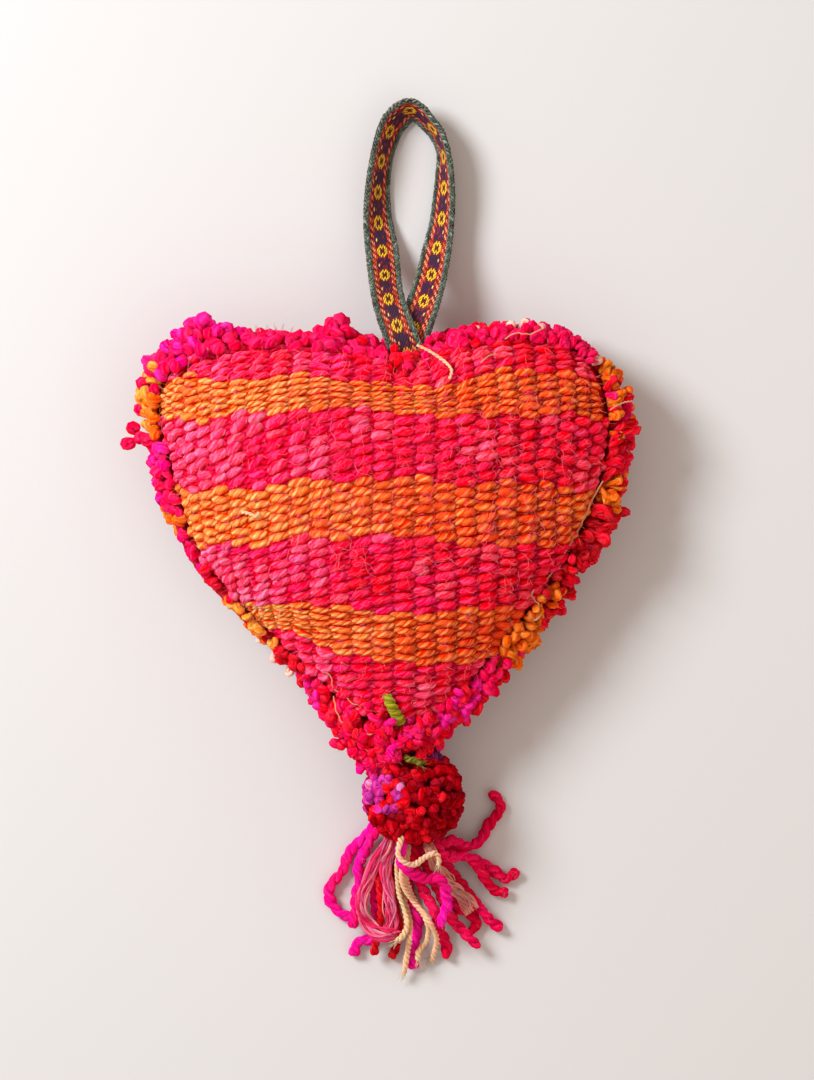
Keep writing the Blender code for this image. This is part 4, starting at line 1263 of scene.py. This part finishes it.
def loose_knobs(heap, rng):
    """Loops that don't stand in the rows: those at the heart's tip, which hang over the top of the
    pompom, and those that close the cleft in front of the band's feet."""
    tip = np.repeat(np.array(TIP_KNOBS, float), 3, axis=0)
    tip = tip + rng.normal(0, 1.9, tip.shape) * [1, 1, 0.7]
    cleft = np.repeat(np.array(CLEFT_KNOBS, float), 2, axis=0)
    cleft = cleft + rng.normal(0, 1.7, cleft.shape) * [1, 1, 0.6]
    spots = np.vstack([tip, cleft])
    n = len(spots)
    at_tip = np.arange(n) < len(tip)
    forward = np.where(at_tip[:, None], [0.1, -0.75, 0.45], [0.0, 0.55, 0.75])
    forward = unit(forward + 0.6 * rng.standard_normal((n, 3)))
    chance = rng.random(n)
    colour = np.array(KNOB_DYES)[np.searchsorted(KNOB_CHANCES, chance, side="right")]
    colour = uneven(colour, rng)
    length = rng.uniform(3.0, 5.5, n)
    put_loops(heap, spots, forward, rng.uniform(-1.5, 1.5, n), length, rng.uniform(0.9, 1.5, n),
              0.3 * rng.standard_normal(n), rng.uniform(1.4, 2.1, n), dyed(colour, 0.8), rng)
    return spots + forward * 5, forward, colour


def band_frames(steps):
    """Band's centre line, the directions across it, out of its face and along it, and the length so
    far, at even steps. The band leans as it does in the solids."""
    line = open_curve(BAND_STATIONS, steps)
    place, lean = line[:, :2], np.radians(line[:, 2])
    along = unit(np.gradient(place, axis=0))
    outward = np.column_stack([-along[:, 1], along[:, 0]])
    foot_lift = np.where(np.arange(steps) < steps / 2, LEFT_FOOT_LIFT, RIGHT_FOOT_LIFT)
    climb = eased((BAND_RISE_FROM - place[:, 1]) / (BAND_RISE_FROM - BAND_FOOT_Y))
    side = np.column_stack([outward * np.sin(lean)[:, None], np.cos(lean)])
    middle_z = BAND_FLOOR + BAND_THICK / 2 + BAND_WIDTH / 2 * np.cos(lean) + foot_lift * climb
    middle = np.column_stack([place, middle_z])
    forward = unit(np.gradient(middle, axis=0))
    return middle, side, unit(np.cross(side, forward)), forward, run_along(middle)


def band_cloth(mat):
    """Flat patterned cloth between the band's rolled edges: a closed thin section along the band.
    "yarn" holds the millimetres along and across."""
    middle, side, face, _, run = band_frames(500)
    half = BAND_WIDTH / 2 - BAND_EDGE
    across = np.linspace(-half, half, BAND_SECTION)
    v = np.concatenate([across, across[::-1]])
    up = np.repeat([1.0, -1.0], BAND_SECTION)
    crown = 0.42 * (0.75 + 0.25 * np.cos(math.pi * v / (2 * half)))
    points = middle[:, None] + side[:, None] * v[None, :, None] + face[:, None] * (up * crown)[None, :, None]
    steps, around = points.shape[:2]
    flat = points.reshape(-1, 3)
    ends = np.stack([points[0].mean(0), points[-1].mean(0)])
    corners = pole_faces(around, len(flat), (steps - 1) * around, len(flat) + 1)
    yarn = np.column_stack([np.repeat(run, around), np.tile(v, steps), np.tile(up, steps)])
    yarn = np.vstack([yarn, [run[0], 0, 1], [run[-1], 0, 1]])
    heap = Heap()
    heap.add(np.vstack([flat, ends]), grid_faces(steps, around, 1, 0), corners, yarn,
             np.tile(dyed(WINE), (len(flat) + 2, 1)))
    heap.piece("band_cloth", mat, "woven_band", "hanging_band")


def band_edges(mat, rng):
    """Rolled green edges of the band: slanting stitches lie in six columns round each edge, and
    neighbouring columns slant opposite ways, like a plait."""
    middle, side, face, forward, run = band_frames(700)
    heap = Heap()
    t = np.array([-1.0, -0.4, 0.4, 1.0])[None, :, None]
    for sign in (-1, 1):
        core = middle + side * sign * (BAND_WIDTH / 2 - BAND_EDGE / 2)
        # core of the edge, dark as painted shade between the stitches
        tubes(heap, core[::4][None], BAND_EDGE / 2 - 0.55, side[::4][None], 8, dyed(EDGE_CORE_SHADE, 0.2))
        for column in range(EDGE_COLUMNS):
            angle = 2 * math.pi * (column + 0.5) / EDGE_COLUMNS
            at = np.arange(EDGE_PITCH, run[-1] - EDGE_PITCH, EDGE_PITCH) + (column % 2) * EDGE_PITCH / 2
            at = at + 0.1 * rng.standard_normal(len(at))
            place, aside, out, along = (read_at(at, run, value) for value in (core, side, face, forward))
            away = aside * math.cos(angle) + out * math.sin(angle)
            round_it = -aside * math.sin(angle) + out * math.cos(angle)
            slant = unit(along + round_it * (0.65 if column % 2 else -0.65))
            paths = (place + away * (BAND_EDGE / 2 - 0.45))[:, None] + slant[:, None] * t * 1.15
            radii = np.array([0.32, 0.6, 0.6, 0.32])[None] * (1 + 0.15 * rng.standard_normal((len(at), 1)))
            green = uneven(np.tile(EDGE_DYE, (len(at), 1)), rng, 0.5, 0.05)
            tubes(heap, paths, radii, away[:, None], 5, dyed(green, 0.0)[:, None])
    heap.piece("band_edges", mat, "woven_band")


def band_material():
    """Warp-faced pattern of small seed-shaped stitches in staggered columns. Each stitch is one dye,
    chosen by where its middle lies: orange seeds along the edges, red inside them, and a dark middle
    with a yellow ring flower at every repeat and a small pale dot between two."""
    def looks(tree):
        pick = partial(mixed, tree)
        along, across, _ = yarn_place(tree)
        run = along + PATTERN_START
        column = (across / SEED_WIDE).by("ROUND")
        middle_v = column * SEED_WIDE
        half_step = column % 2.0 * (SEED_LONG / 2)
        cell = ((run + half_step) / SEED_LONG).by("ROUND")
        middle_u = cell * SEED_LONG - half_step
        size_v = middle_v.by("ABSOLUTE")
        phase = middle_u % REPEAT - REPEAT / 2
        reach = (middle_v ** 2.0 + (phase * FLOWER_SQUEEZE) ** 2.0).by("SQRT")
        number = node(tree, "ShaderNodeCombineXYZ", [column, cell, 3.0]).outputs[0]
        chance = Value(tree, node(tree, "ShaderNodeTexWhiteNoise", {"Vector": number}).outputs["Value"])
        dark_wide = (phase * (2 * math.pi / REPEAT)).by("COSINE") * -0.9 + 2.8
        dark = pick(phase.by("ABSOLUTE") > 4.2, paint(104, 10, 30), paint(66, 20, 62))
        dark = pick(chance > 0.8, dark, paint(140, 18, 46))
        red = pick(chance > 0.6, paint(140, 12, 24), paint(206, 56, 34))
        colour = pick(size_v > dark_wide, dark, red)
        orange = pick(chance > 0.4, paint(236, 84, 40), paint(255, 146, 96))
        russet = pick(chance > 0.6, paint(132, 16, 20), paint(190, 44, 28))
        stroke = (cell - (column / 2.0).by("CEIL")) % 2.0
        colour = pick(size_v > ORANGE_FROM, colour, pick(stroke, orange, russet))
        colour = pick(reach < FLOWER_REACH, colour, paint(250, 196, 24))
        colour = pick(reach < HOLE_REACH, colour, paint(104, 12, 16))
        dot = (phase > DOT_PHASE) * middle_v.by("COMPARE", DOT_SIDE, 0.2)
        colour = pick(dot, colour, paint(252, 206, 96))
        local_v = (across - middle_v) / SEED_WIDE
        slanted = (run - middle_u) / SEED_LONG + local_v * SEED_SLANT
        rounded = (local_v * math.pi).by("COSINE") * (slanted * math.pi).by("COSINE")
        height = rounded.by("MAXIMUM", 0.0) ** 0.5
        # painted shade: each seed darker towards its edges, times a random tone for each seed
        seed_tone_and_shade = height.ramp(0.2, 0.75, 0.2, 1.0) * (chance * 0.4 + 0.82)
        grey = node(tree, "ShaderNodeCombineColor", [seed_tone_and_shade] * 3).outputs[0]
        bump = node(tree, "ShaderNodeBump", {"Distance": 0.00035, "Height": height})
        return {"Base Color": pick(1.0, colour, grey, "MULTIPLY"), "Normal": bump.outputs[0],
                "Roughness": 0.62, "Specular IOR Level": 0.35}

    return principled("woven band", looks)


def pompom(mat, rng):
    """Ball of clipped yarn: short fat lumps lie close together at all slants on a core that is dark as
    painted shade between them. Their places go round the ball in a spiral of golden turns, one lump to each
    equal share of its height."""
    heap = Heap()
    count = POMPOM_LUMPS
    number = np.arange(count) + 0.5
    height = 1 - 2 * number / count
    turn = number * math.pi * (1 + math.sqrt(5))
    ring = np.sqrt(1 - height ** 2)
    away = np.column_stack([ring * np.cos(turn), ring * np.sin(turn), height])
    away = unit(away + 0.06 * rng.standard_normal((count, 3)))
    radius = rng.uniform(2.6, 3.6, count)
    reach = (POMPOM_RADIUS + 1.2) * (1 + 0.025 * rng.standard_normal(count)) - 0.8 * radius
    slant = unit(0.4 * away + 0.75 * rng.standard_normal((count, 3)))
    stations = np.array([-1.0, -0.75, -0.3, 0.3, 0.75, 1.0])
    half = rng.uniform(2.0, 4.2, count)
    middle = POMPOM_MIDDLE + away * (reach - 0.5 * half)[:, None]
    paths = middle[:, None] + slant[:, None] * (half[:, None] * stations)[..., None]
    radius = radius[:, None] * np.array([0.62, 0.92, 1.0, 1.0, 0.92, 0.62])
    paths[:, :, 2] = np.maximum(paths[:, :, 2], radius + 0.2)
    # painted light: lumps on the left are more often the lighter reds, those on the right the darker ones
    chance = np.clip(rng.random(count) - 0.2 * away[:, 0], 0, 1)
    colour = np.array(POMPOM_LIT_AND_SHADED_REDS)[np.searchsorted([0.45, 0.78], chance, side="right")]
    left = (away[:, 0] < -0.15 - 0.5 * chance) & (away[:, 1] > -0.3) & (away[:, 2] > -0.2)
    purple = np.where(rng.random((count, 1)) < 0.85, *POMPOM_PURPLES)
    colour = np.where(left[:, None], purple, colour)
    # painted shade: lumps under the heart's tip get a dark purple
    under_tip_shade = (away[:, 0] > 0.0) & (away[:, 1] > 0.75)
    colour = uneven(np.where(under_tip_shade[:, None], POMPOM_SHADED_PURPLE, colour), rng, 0.14, 0.06)
    across = np.cross(away, unit(rng.standard_normal((count, 3))))
    tubes(heap, paths, radius, across[:, None], 7, dyed(colour, 0.8)[:, None], flat=0.85, lobes=0.12,
          start=30 * rng.random(count))
    # core ball dark as painted shade between the lumps
    core_turn = np.linspace(0.05, 0.95, 9) * math.pi
    core = POMPOM_MIDDLE - np.cos(core_turn)[:, None] * POMPOM_CORE * UP
    tubes(heap, core[None], (POMPOM_CORE * np.sin(core_turn))[None], np.array([1.0, 0.0, 0.0]), 20,
          dyed(POMPOM_CORE_SHADE, 0.0))
    heap.piece("pompom_tufts", mat, "pompom_wool", "pompom")
    return POMPOM_MIDDLE + away * reach[:, None], away, colour


def laid_over(flat, radius, laid):
    """Lowest height at each point that clears the floor, the drop from the pompom and the heap."""
    run = np.arange(len(flat)) * LAY_STEP
    need = radius + FLOOR_GAP + ROOT_LIFT * (1 - eased(run / ROOT_RUN))
    for line, thick in laid:
        reach = radius + thick + LAY_GAP
        apart = ((flat[:, None, :] - line[None, :, :2]) ** 2).sum(axis=2)
        over = line[None, :, 2] + np.sqrt(np.maximum(reach ** 2 - apart, 0.0))
        need = np.maximum(need, np.where(apart < reach ** 2, over, 0.0).max(axis=1))
    return need


def settle(need):
    """Gentle line over the needed heights: slopes are limited, then steps are smoothed."""
    place = np.arange(len(need)) * LAY_STEP
    drop = LAY_SLOPE * np.abs(place[:, None] - place[None, :])
    height = (need[None, :] - drop).max(axis=1)
    for _ in range(LAY_ROUNDS):
        smooth = np.convolve(np.pad(height, 2, mode="edge"), np.array([1, 2, 3, 2, 1]) / 9, "valid")
        height = np.maximum(smooth, need)
    return height


def strand_lines():
    """Centre line of every tassel strand, laid as the solids are, with its root in the pompom."""
    laid, lines = [], {}
    for name, _, radius, route in STRANDS:
        root = np.array(POMPOM_PLACE) + ROOT_INSIDE * np.subtract(route[0], POMPOM_PLACE)
        rough = open_curve((root, *route), LAY_FINE)
        flat = evenly(rough, round(line_length(rough) / LAY_STEP))
        line = np.column_stack([flat, settle(laid_over(flat, radius, laid))])
        apart = np.linalg.norm(line - POMPOM_MIDDLE, axis=1)
        keep_off = POMPOM_RADIUS + POMPOM_RELIEF / 2 + radius + CLEAR
        near = np.flatnonzero(apart < keep_off)
        hidden = np.flatnonzero(apart < keep_off - ROOT_HIDDEN)
        laid.append((line[near[-1] + 1:] if len(near) else line, radius))
        lines[name] = line[hidden[-1] + 1:] if len(hidden) else line
    return lines


def strands_of(lines, *kinds):
    """Strands of some kinds of yarn: name, kind, radius and centre line."""
    return [(name, kind, radius, lines[name]) for name, kind, radius, _ in STRANDS if kind in kinds]


def ply_stations(length, pitch):
    """How many stations a plied yarn has: twelve to each turn of its plies."""
    return max(12, int(length / pitch * 12))


def plied(heap, line, radius, pitch, tint, rng, ends=1.0, sides=8, depth=1.0):
    """Two-ply yarn: each ply is a tube whose middle winds round the yarn's line once every pitch. The
    yarn is thick and thin, its loose end swells by `ends` and closes, and `depth` says how far the
    plies stand apart."""
    length = line_length(line)
    count = ply_stations(length, pitch)
    path = evenly(line, count)
    along = unit(np.gradient(path, axis=0))
    beside = unit(np.cross(along, UP))
    above = np.cross(beside, along)
    run = np.linspace(0, length, count)
    knob = 1 + (ends - 1) * np.exp(-((length - run) / 2.5) ** 2)
    slow, quick = 6 * rng.random(2)
    fat = radius * knob * (1 + 0.08 * np.sin(run / 4.1 + slow) + 0.05 * np.sin(run / 1.7 + quick))
    closing = np.minimum(1, (length - run) / (0.8 * radius) + 0.45) ** 0.5
    for ply in range(2):
        phase = 2 * math.pi * (run / pitch + ply / 2) + 0.35 * np.sin(run / 6.3 + slow)
        stand = (fat * PLY_STAND * closing * depth)[:, None]
        middle = path + stand * (np.cos(phase)[:, None] * beside + np.sin(phase)[:, None] * above)
        thick = fat * (PLY_THICK + PLY_STAND * (1 - depth)) * closing
        thick = thick * (1 + 0.05 * rng.standard_normal(count))
        middle[:, 2] = np.maximum(middle[:, 2], thick + 0.1)
        tubes(heap, middle[None], thick[None], UP, sides, tint, start=50 * rng.random())


def yarn_strands(lines, mats, rng):
    """Pink and red strands of two-ply yarn, whose dye drifts along them."""
    roots = []
    for name, kind, radius, line in strands_of(lines, *YARN_DYES):
        dyes = YARN_DYES[kind]
        length = line_length(line)
        pitch = 3.7 * radius
        run = np.linspace(0, length, ply_stations(length, pitch))
        drift = 0.5 + 0.5 * np.sin(run / 9.0 + 6 * rng.random())
        colour = uneven(blend_colours(*dyes, drift), rng, 0.03, 0.0)
        heap = Heap()
        plied(heap, line, 0.93 * radius, pitch, dyed(colour, 0.45)[None], rng, ends=1.1, depth=0.85)
        heap.piece(name + "_yarn", mats[kind], kind, name)
        picked = line[rng.integers(4, len(line), 40)] + [0, 0, radius * 0.6]
        roots.append((picked, unit(rng.standard_normal((40, 3)) + [0, 0, 0.6]), np.tile(dyes[0], (40, 1))))
    return joined(roots)


def rovings(lines, mats, rng):
    """Salmon wool with almost no twist: fine ends of mixed dyes that run side by side and spread
    apart towards the loose end. The one on the right is a paler brush."""
    for name, kind, radius, line in strands_of(lines, "salmon_roving"):
        brush = name == "salmon_roving_3"
        ends = 26 if brush else 24
        path = evenly(line, 40)
        beside = unit(np.cross(unit(np.gradient(path, axis=0)), UP))
        run = np.linspace(0, 1, 40)
        spread = radius * (1.15 + (0.8 if brush else 0.5) * run ** 2)
        far = np.sqrt(rng.random((ends, 1)))
        angle = 6.3 * rng.random((ends, 1)) + run * rng.uniform(1.5, 4.5)
        angle = angle + 0.7 * np.sin(run * rng.uniform(4, 11, (ends, 1)))
        wave = 0.35 * np.sin(run * rng.uniform(9, 20, (ends, 1)) + 6 * rng.random((ends, 1)))
        paths = path + beside * ((far * np.cos(angle) + wave) * spread)[..., None]
        paths[:, :, 2] += (far * np.sin(angle) + 0.5 * wave) * radius * 0.8
        paths[:, :, 2] = np.maximum(paths[:, :, 2], 0.6)
        thick = rng.uniform(0.35, 0.85, ends)[:, None] * (1 - 0.5 * run ** 4)
        base = np.tile(PALE_SALMON if brush else SALMON, (ends, 1))
        chance = rng.random(ends)
        base[chance < (0.0 if brush else 0.3)] = ROVING_ROSE
        base[chance > 0.8] = ROVING_LIGHT
        colour = dyed(uneven(base, rng, 0.1, 0.04), 0.2)
        heap = Heap()
        tubes(heap, paths, thick, UP, 5, colour[:, None], start=30 * rng.random(ends))
        heap.piece(name + "_ends", mats[kind], kind, name)


def frayed(heap, line, radius, colour, rng, count=9):
    """Brush of fine fibres at the loose end of a cord."""
    along = unit(line[-1] - line[-5])
    start = line[-1] - along * 2.0 + 0.4 * radius * rng.standard_normal((count, 3))
    away = unit(along + 0.28 * rng.standard_normal((count, 3)))
    t = np.linspace(0, 1, 5)[:, None]
    length = rng.uniform(3.5, 6.5, count)[:, None, None]
    paths = start[:, None] + away[:, None] * t * length + 0.4 * rng.standard_normal((count, 1, 3)) * t ** 2
    paths[:, :, 2] = np.maximum(paths[:, :, 2], 0.3)
    tubes(heap, paths, 0.22 * (1 - 0.5 * t[:, 0])[None], UP + 0.01, 3, dyed(colour, 0.0)[None, None])


def cream_cords(lines, mats, rng):
    """Thin two-ply cords with frayed ends."""
    for name, kind, radius, line in strands_of(lines, "cream_cord"):
        heap = Heap()
        colour = uneven(CREAM[None], rng, 0.08, 0.03)[0]
        plied(heap, line, radius * 1.05, 5.4, dyed(colour, 0.5)[None, None], rng)
        frayed(heap, line, radius, colour, rng)
        heap.piece(name + "_plies", mats[kind], kind, name)


def green_yarn(mats, rng):
    """Thick olive stitch over the heart's tip, and the end of the yarn where it comes out again from
    under the pink knobs on top of the pompom."""
    heap = Heap()
    stitch = open_curve(TIE_STITCH, 30)
    arch = np.sin(math.pi * np.linspace(0, 1, 30)) ** 0.5
    height = on_skin(*stitch.T, "front")[0][:, 2] + 1.2 + 4.6 * arch
    plied(heap, np.column_stack([stitch, height]), 2.9, 7.5, dyed(LIME, 0.9)[None, None], rng, sides=10)
    knot = open_curve(TIE_KNOT, 24)
    apart = np.hypot(*(knot - POMPOM_PLACE).T)
    height = POMPOM_MIDDLE[2] + np.sqrt(np.maximum(0, (POMPOM_RADIUS + 2.5) ** 2 - apart ** 2))
    line = np.column_stack([knot, height])
    plied(heap, line, 1.9, 5.5, dyed(OLIVE, 0.8)[None, None], rng)
    frayed(heap, line, 1.5, OLIVE, rng, 12)
    heap.piece("green_yarn_tie", mats["green_yarn"], "green_yarn", "green_tie")


def some(roots, count, rng):
    """A random choice of the places that fibres can grow from."""
    pick = rng.integers(0, len(roots[0]), count)
    return [value[pick] for value in roots]


def fuzz(name, mat, slot, roots, lengths, radius, rng, pale=0.25):
    """Single fibres that stand off the yarn: each rises along its way out, drifts sideways and curls."""
    places, out, colours = roots
    n = len(places)
    heading = unit(out + 0.9 * rng.standard_normal((n, 3)))
    drift = unit(rng.standard_normal((n, 3)))
    t = np.linspace(0, 1, 5)[None, :, None]
    length = rng.uniform(*lengths, (n, 1, 1))
    curl = rng.uniform(0.2, 0.8, (n, 1, 1))
    paths = places[:, None] + heading[:, None] * t * length + drift[:, None] * t ** 2 * length * curl
    paths[:, :, 2] = np.maximum(paths[:, :, 2], 0.2)
    colour = np.clip(blend_colours(colours, FIBRE_PALE, pale * rng.random(n) * 2), 0, 0.95)
    heap = Heap()
    tubes(heap, paths, radius * (1 - 0.6 * t[..., 0]), SKEW, 3, dyed(colour, 0.0)[:, None])
    heap.piece(name, mat, slot)


def lying_fibres(name, mat, count, area, length, radius, colours, rng):
    """Long curly fibres that lie on the weave, within an area given as X and Y limits."""
    steps = 12
    start_x, start_y = (rng.uniform(*limits, (count, 1)) for limits in area)
    long = rng.uniform(*length, (count, 1))
    t = np.linspace(0, 1, steps)[None]
    heading = 6.3 * rng.random((count, 1)) + rng.normal(0, 2.2, (count, 1)) * t
    heading = heading + rng.normal(0, 0.8, (count, 1)) * np.sin(t * rng.uniform(3, 9, (count, 1)))
    x = start_x + np.cumsum(np.cos(heading), axis=1) * long / steps
    y = start_y + np.cumsum(np.sin(heading), axis=1) * long / steps
    points, out, share = on_skin(x, y, "front")
    lift = 4.2 + 0.8 * rng.random((count, 1)) + 0.5 * np.sin(t * rng.uniform(4, 12, (count, 1)))
    paths = (points + out * lift[..., None])[share.max(axis=1) < 0.93]
    dye = uneven(np.array(colours)[rng.integers(0, len(colours), len(paths))], rng)
    heap = Heap()
    tubes(heap, paths, radius * (1 - 0.5 * t), SKEW, 3, dyed(dye, 0.0)[:, None])
    heap.piece(name, mat, "woven_heart")


def threads(mats, rng):
    """Loose threads: cream ones at the cleft and on the stripe, and thin tan sewing thread along the
    right seam, at the tip and over the upper fringe. Each lies over the skin, smoothed five by five."""
    heap = Heap()
    for kind, radius, lift, lowest, route in THREADS:
        flat = open_curve(route, 50)
        skin = on_skin(*flat.T, "front")[0][:, 2]
        height = np.maximum(skin + lift, lowest)
        for _ in range(6):
            height = np.convolve(np.pad(height, 2, mode="edge"), np.full(5, 0.2), "valid")
        wave = 0.35 * np.sin(np.arange(50) * rng.uniform(0.5, 0.9)) * (kind == "thin")
        line = np.column_stack([flat + wave[:, None] * unit(rng.standard_normal(2)), height])
        if kind == "cord":
            plied(heap, line, radius, 4.6, dyed(CREAM, 0.4)[None, None], rng, sides=6)
        else:
            tubes(heap, line[None], radius, np.array([0.1, 0.2, 1.0]), 5, dyed(TAN, 0.0)[None, None])
    heap.piece("loose_threads", mats["cream_cord"], "cream_cord")


def floor_and_light():
    """Pale floor, one big soft light from the upper left, and a weak even sky."""
    mesh = bpy.data.meshes.new("floor")
    corners = [(x * FLOOR_REACH, y * FLOOR_REACH, 0) for x, y in ((-1, -1), (1, -1), (1, 1), (-1, 1))]
    mesh.from_pydata(corners, [], [(0, 1, 2, 3)])
    pale = principled("pale floor", lambda tree: {"Base Color": FLOOR_COLOUR, "Roughness": 0.9})
    mesh.materials.append(pale)
    floor = placed("floor", mesh)
    for name, place, size, power, colour in LAMPS:
        lamp = bpy.data.lights.new(name, "AREA")
        lamp.shape = "DISK"
        lamp.size = size
        lamp.energy = power
        lamp.color = colour
        obj = placed(name, lamp)
        obj.location = place
        aim = np.array(place) / np.linalg.norm(place)
        obj.rotation_euler = (math.acos(aim[2]), 0, math.atan2(aim[1], aim[0]) + math.pi / 2)
    world = bpy.data.worlds.new("room")
    world.use_nodes = True
    sky = world.node_tree.nodes["Background"].inputs
    sky["Color"].default_value = SKY_COLOUR
    sky["Strength"].default_value = SKY_STRENGTH
    bpy.context.scene.world = world
    bpy.context.scene.view_settings.view_transform = "Standard"


def camera():
    """Camera 3 m above the seam, looking straight down, with a field 540 mm high there."""
    data = bpy.data.cameras.new("camera")
    data.sensor_fit = "VERTICAL"
    data.sensor_height = FILM_HEIGHT
    data.lens = FOCAL_LENGTH
    obj = placed("camera", data)
    obj.location = (CAMERA_X * MM, EYE[0] * MM, (EYE[1] + SEAM_Z) * MM)
    bpy.context.scene.camera = obj


def build():
    """Every piece of the ornament, its stage and its camera."""
    camera()
    floor_and_light()
    mats = {key: wool(*looks) for key, looks in WOOLS.items()}
    fibre = fuzz_material("wool fibres")
    dark = plain_wool("dark wool under the weave", UNDER_DYE_AND_SHADE)
    first = cushion_shell(dark)
    fill_with_stuffing(first)
    bpy.data.objects.remove(first, do_unlink=True)
    heart = cushion_shell(dark)
    dress(heart, "woven_heart", "heart_cushion")

    front = Heap()
    front_roots = weave(front, "front", COLUMN, 1.0, GRAIN, np.random.default_rng(7))
    front.piece("woven_front", mats["weave"], "woven_heart")
    weft_below("front", 1.0, mats["weave"])
    back = Heap()
    weave(back, "back", BACK_COLUMN, 1.3, BACK_GRAIN, np.random.default_rng(8))
    back.piece("woven_back", mats["weave"], "woven_heart")
    fringe_roots = fringe(mats["wool_fringe"], np.random.default_rng(9))
    band_cloth(band_material())
    band_edges(mats["green_yarn"], np.random.default_rng(10))
    pompom_roots = pompom(mats["pompom_wool"], np.random.default_rng(11))
    lines = strand_lines()
    strand_roots = yarn_strands(lines, mats, np.random.default_rng(12))
    rovings(lines, mats, np.random.default_rng(13))
    cream_cords(lines, mats, np.random.default_rng(14))
    green_yarn(mats, np.random.default_rng(15))

    rng = np.random.default_rng(16)
    fuzz("heart_fuzz", fibre, "woven_heart", some(front_roots, 1500, rng), (1.5, 5.0), 0.09, rng)
    lying_fibres("curly_fibres", fibre, 260, ((-50, 95), (-20, 72)), (7, 17), 0.12, CURLY_DYES, rng)
    lying_fibres("short_fibres", fibre, 500, ((-100, 105), (-85, 90)), (3, 8), 0.11, SHORT_DYES, rng)
    threads(mats, rng)
    fuzz("fringe_fuzz", fibre, "wool_fringe", some(fringe_roots, 1000, rng), (1.5, 4.0), 0.07, rng)
    fuzz("pompom_fuzz", fibre, "pompom_wool", some(pompom_roots, 500, rng), (1.0, 3.0), 0.07, rng, 0.05)
    fuzz("tassel_fuzz", fibre, "bright_pink_yarn", strand_roots, (1.5, 4.5), 0.07, rng)


build()
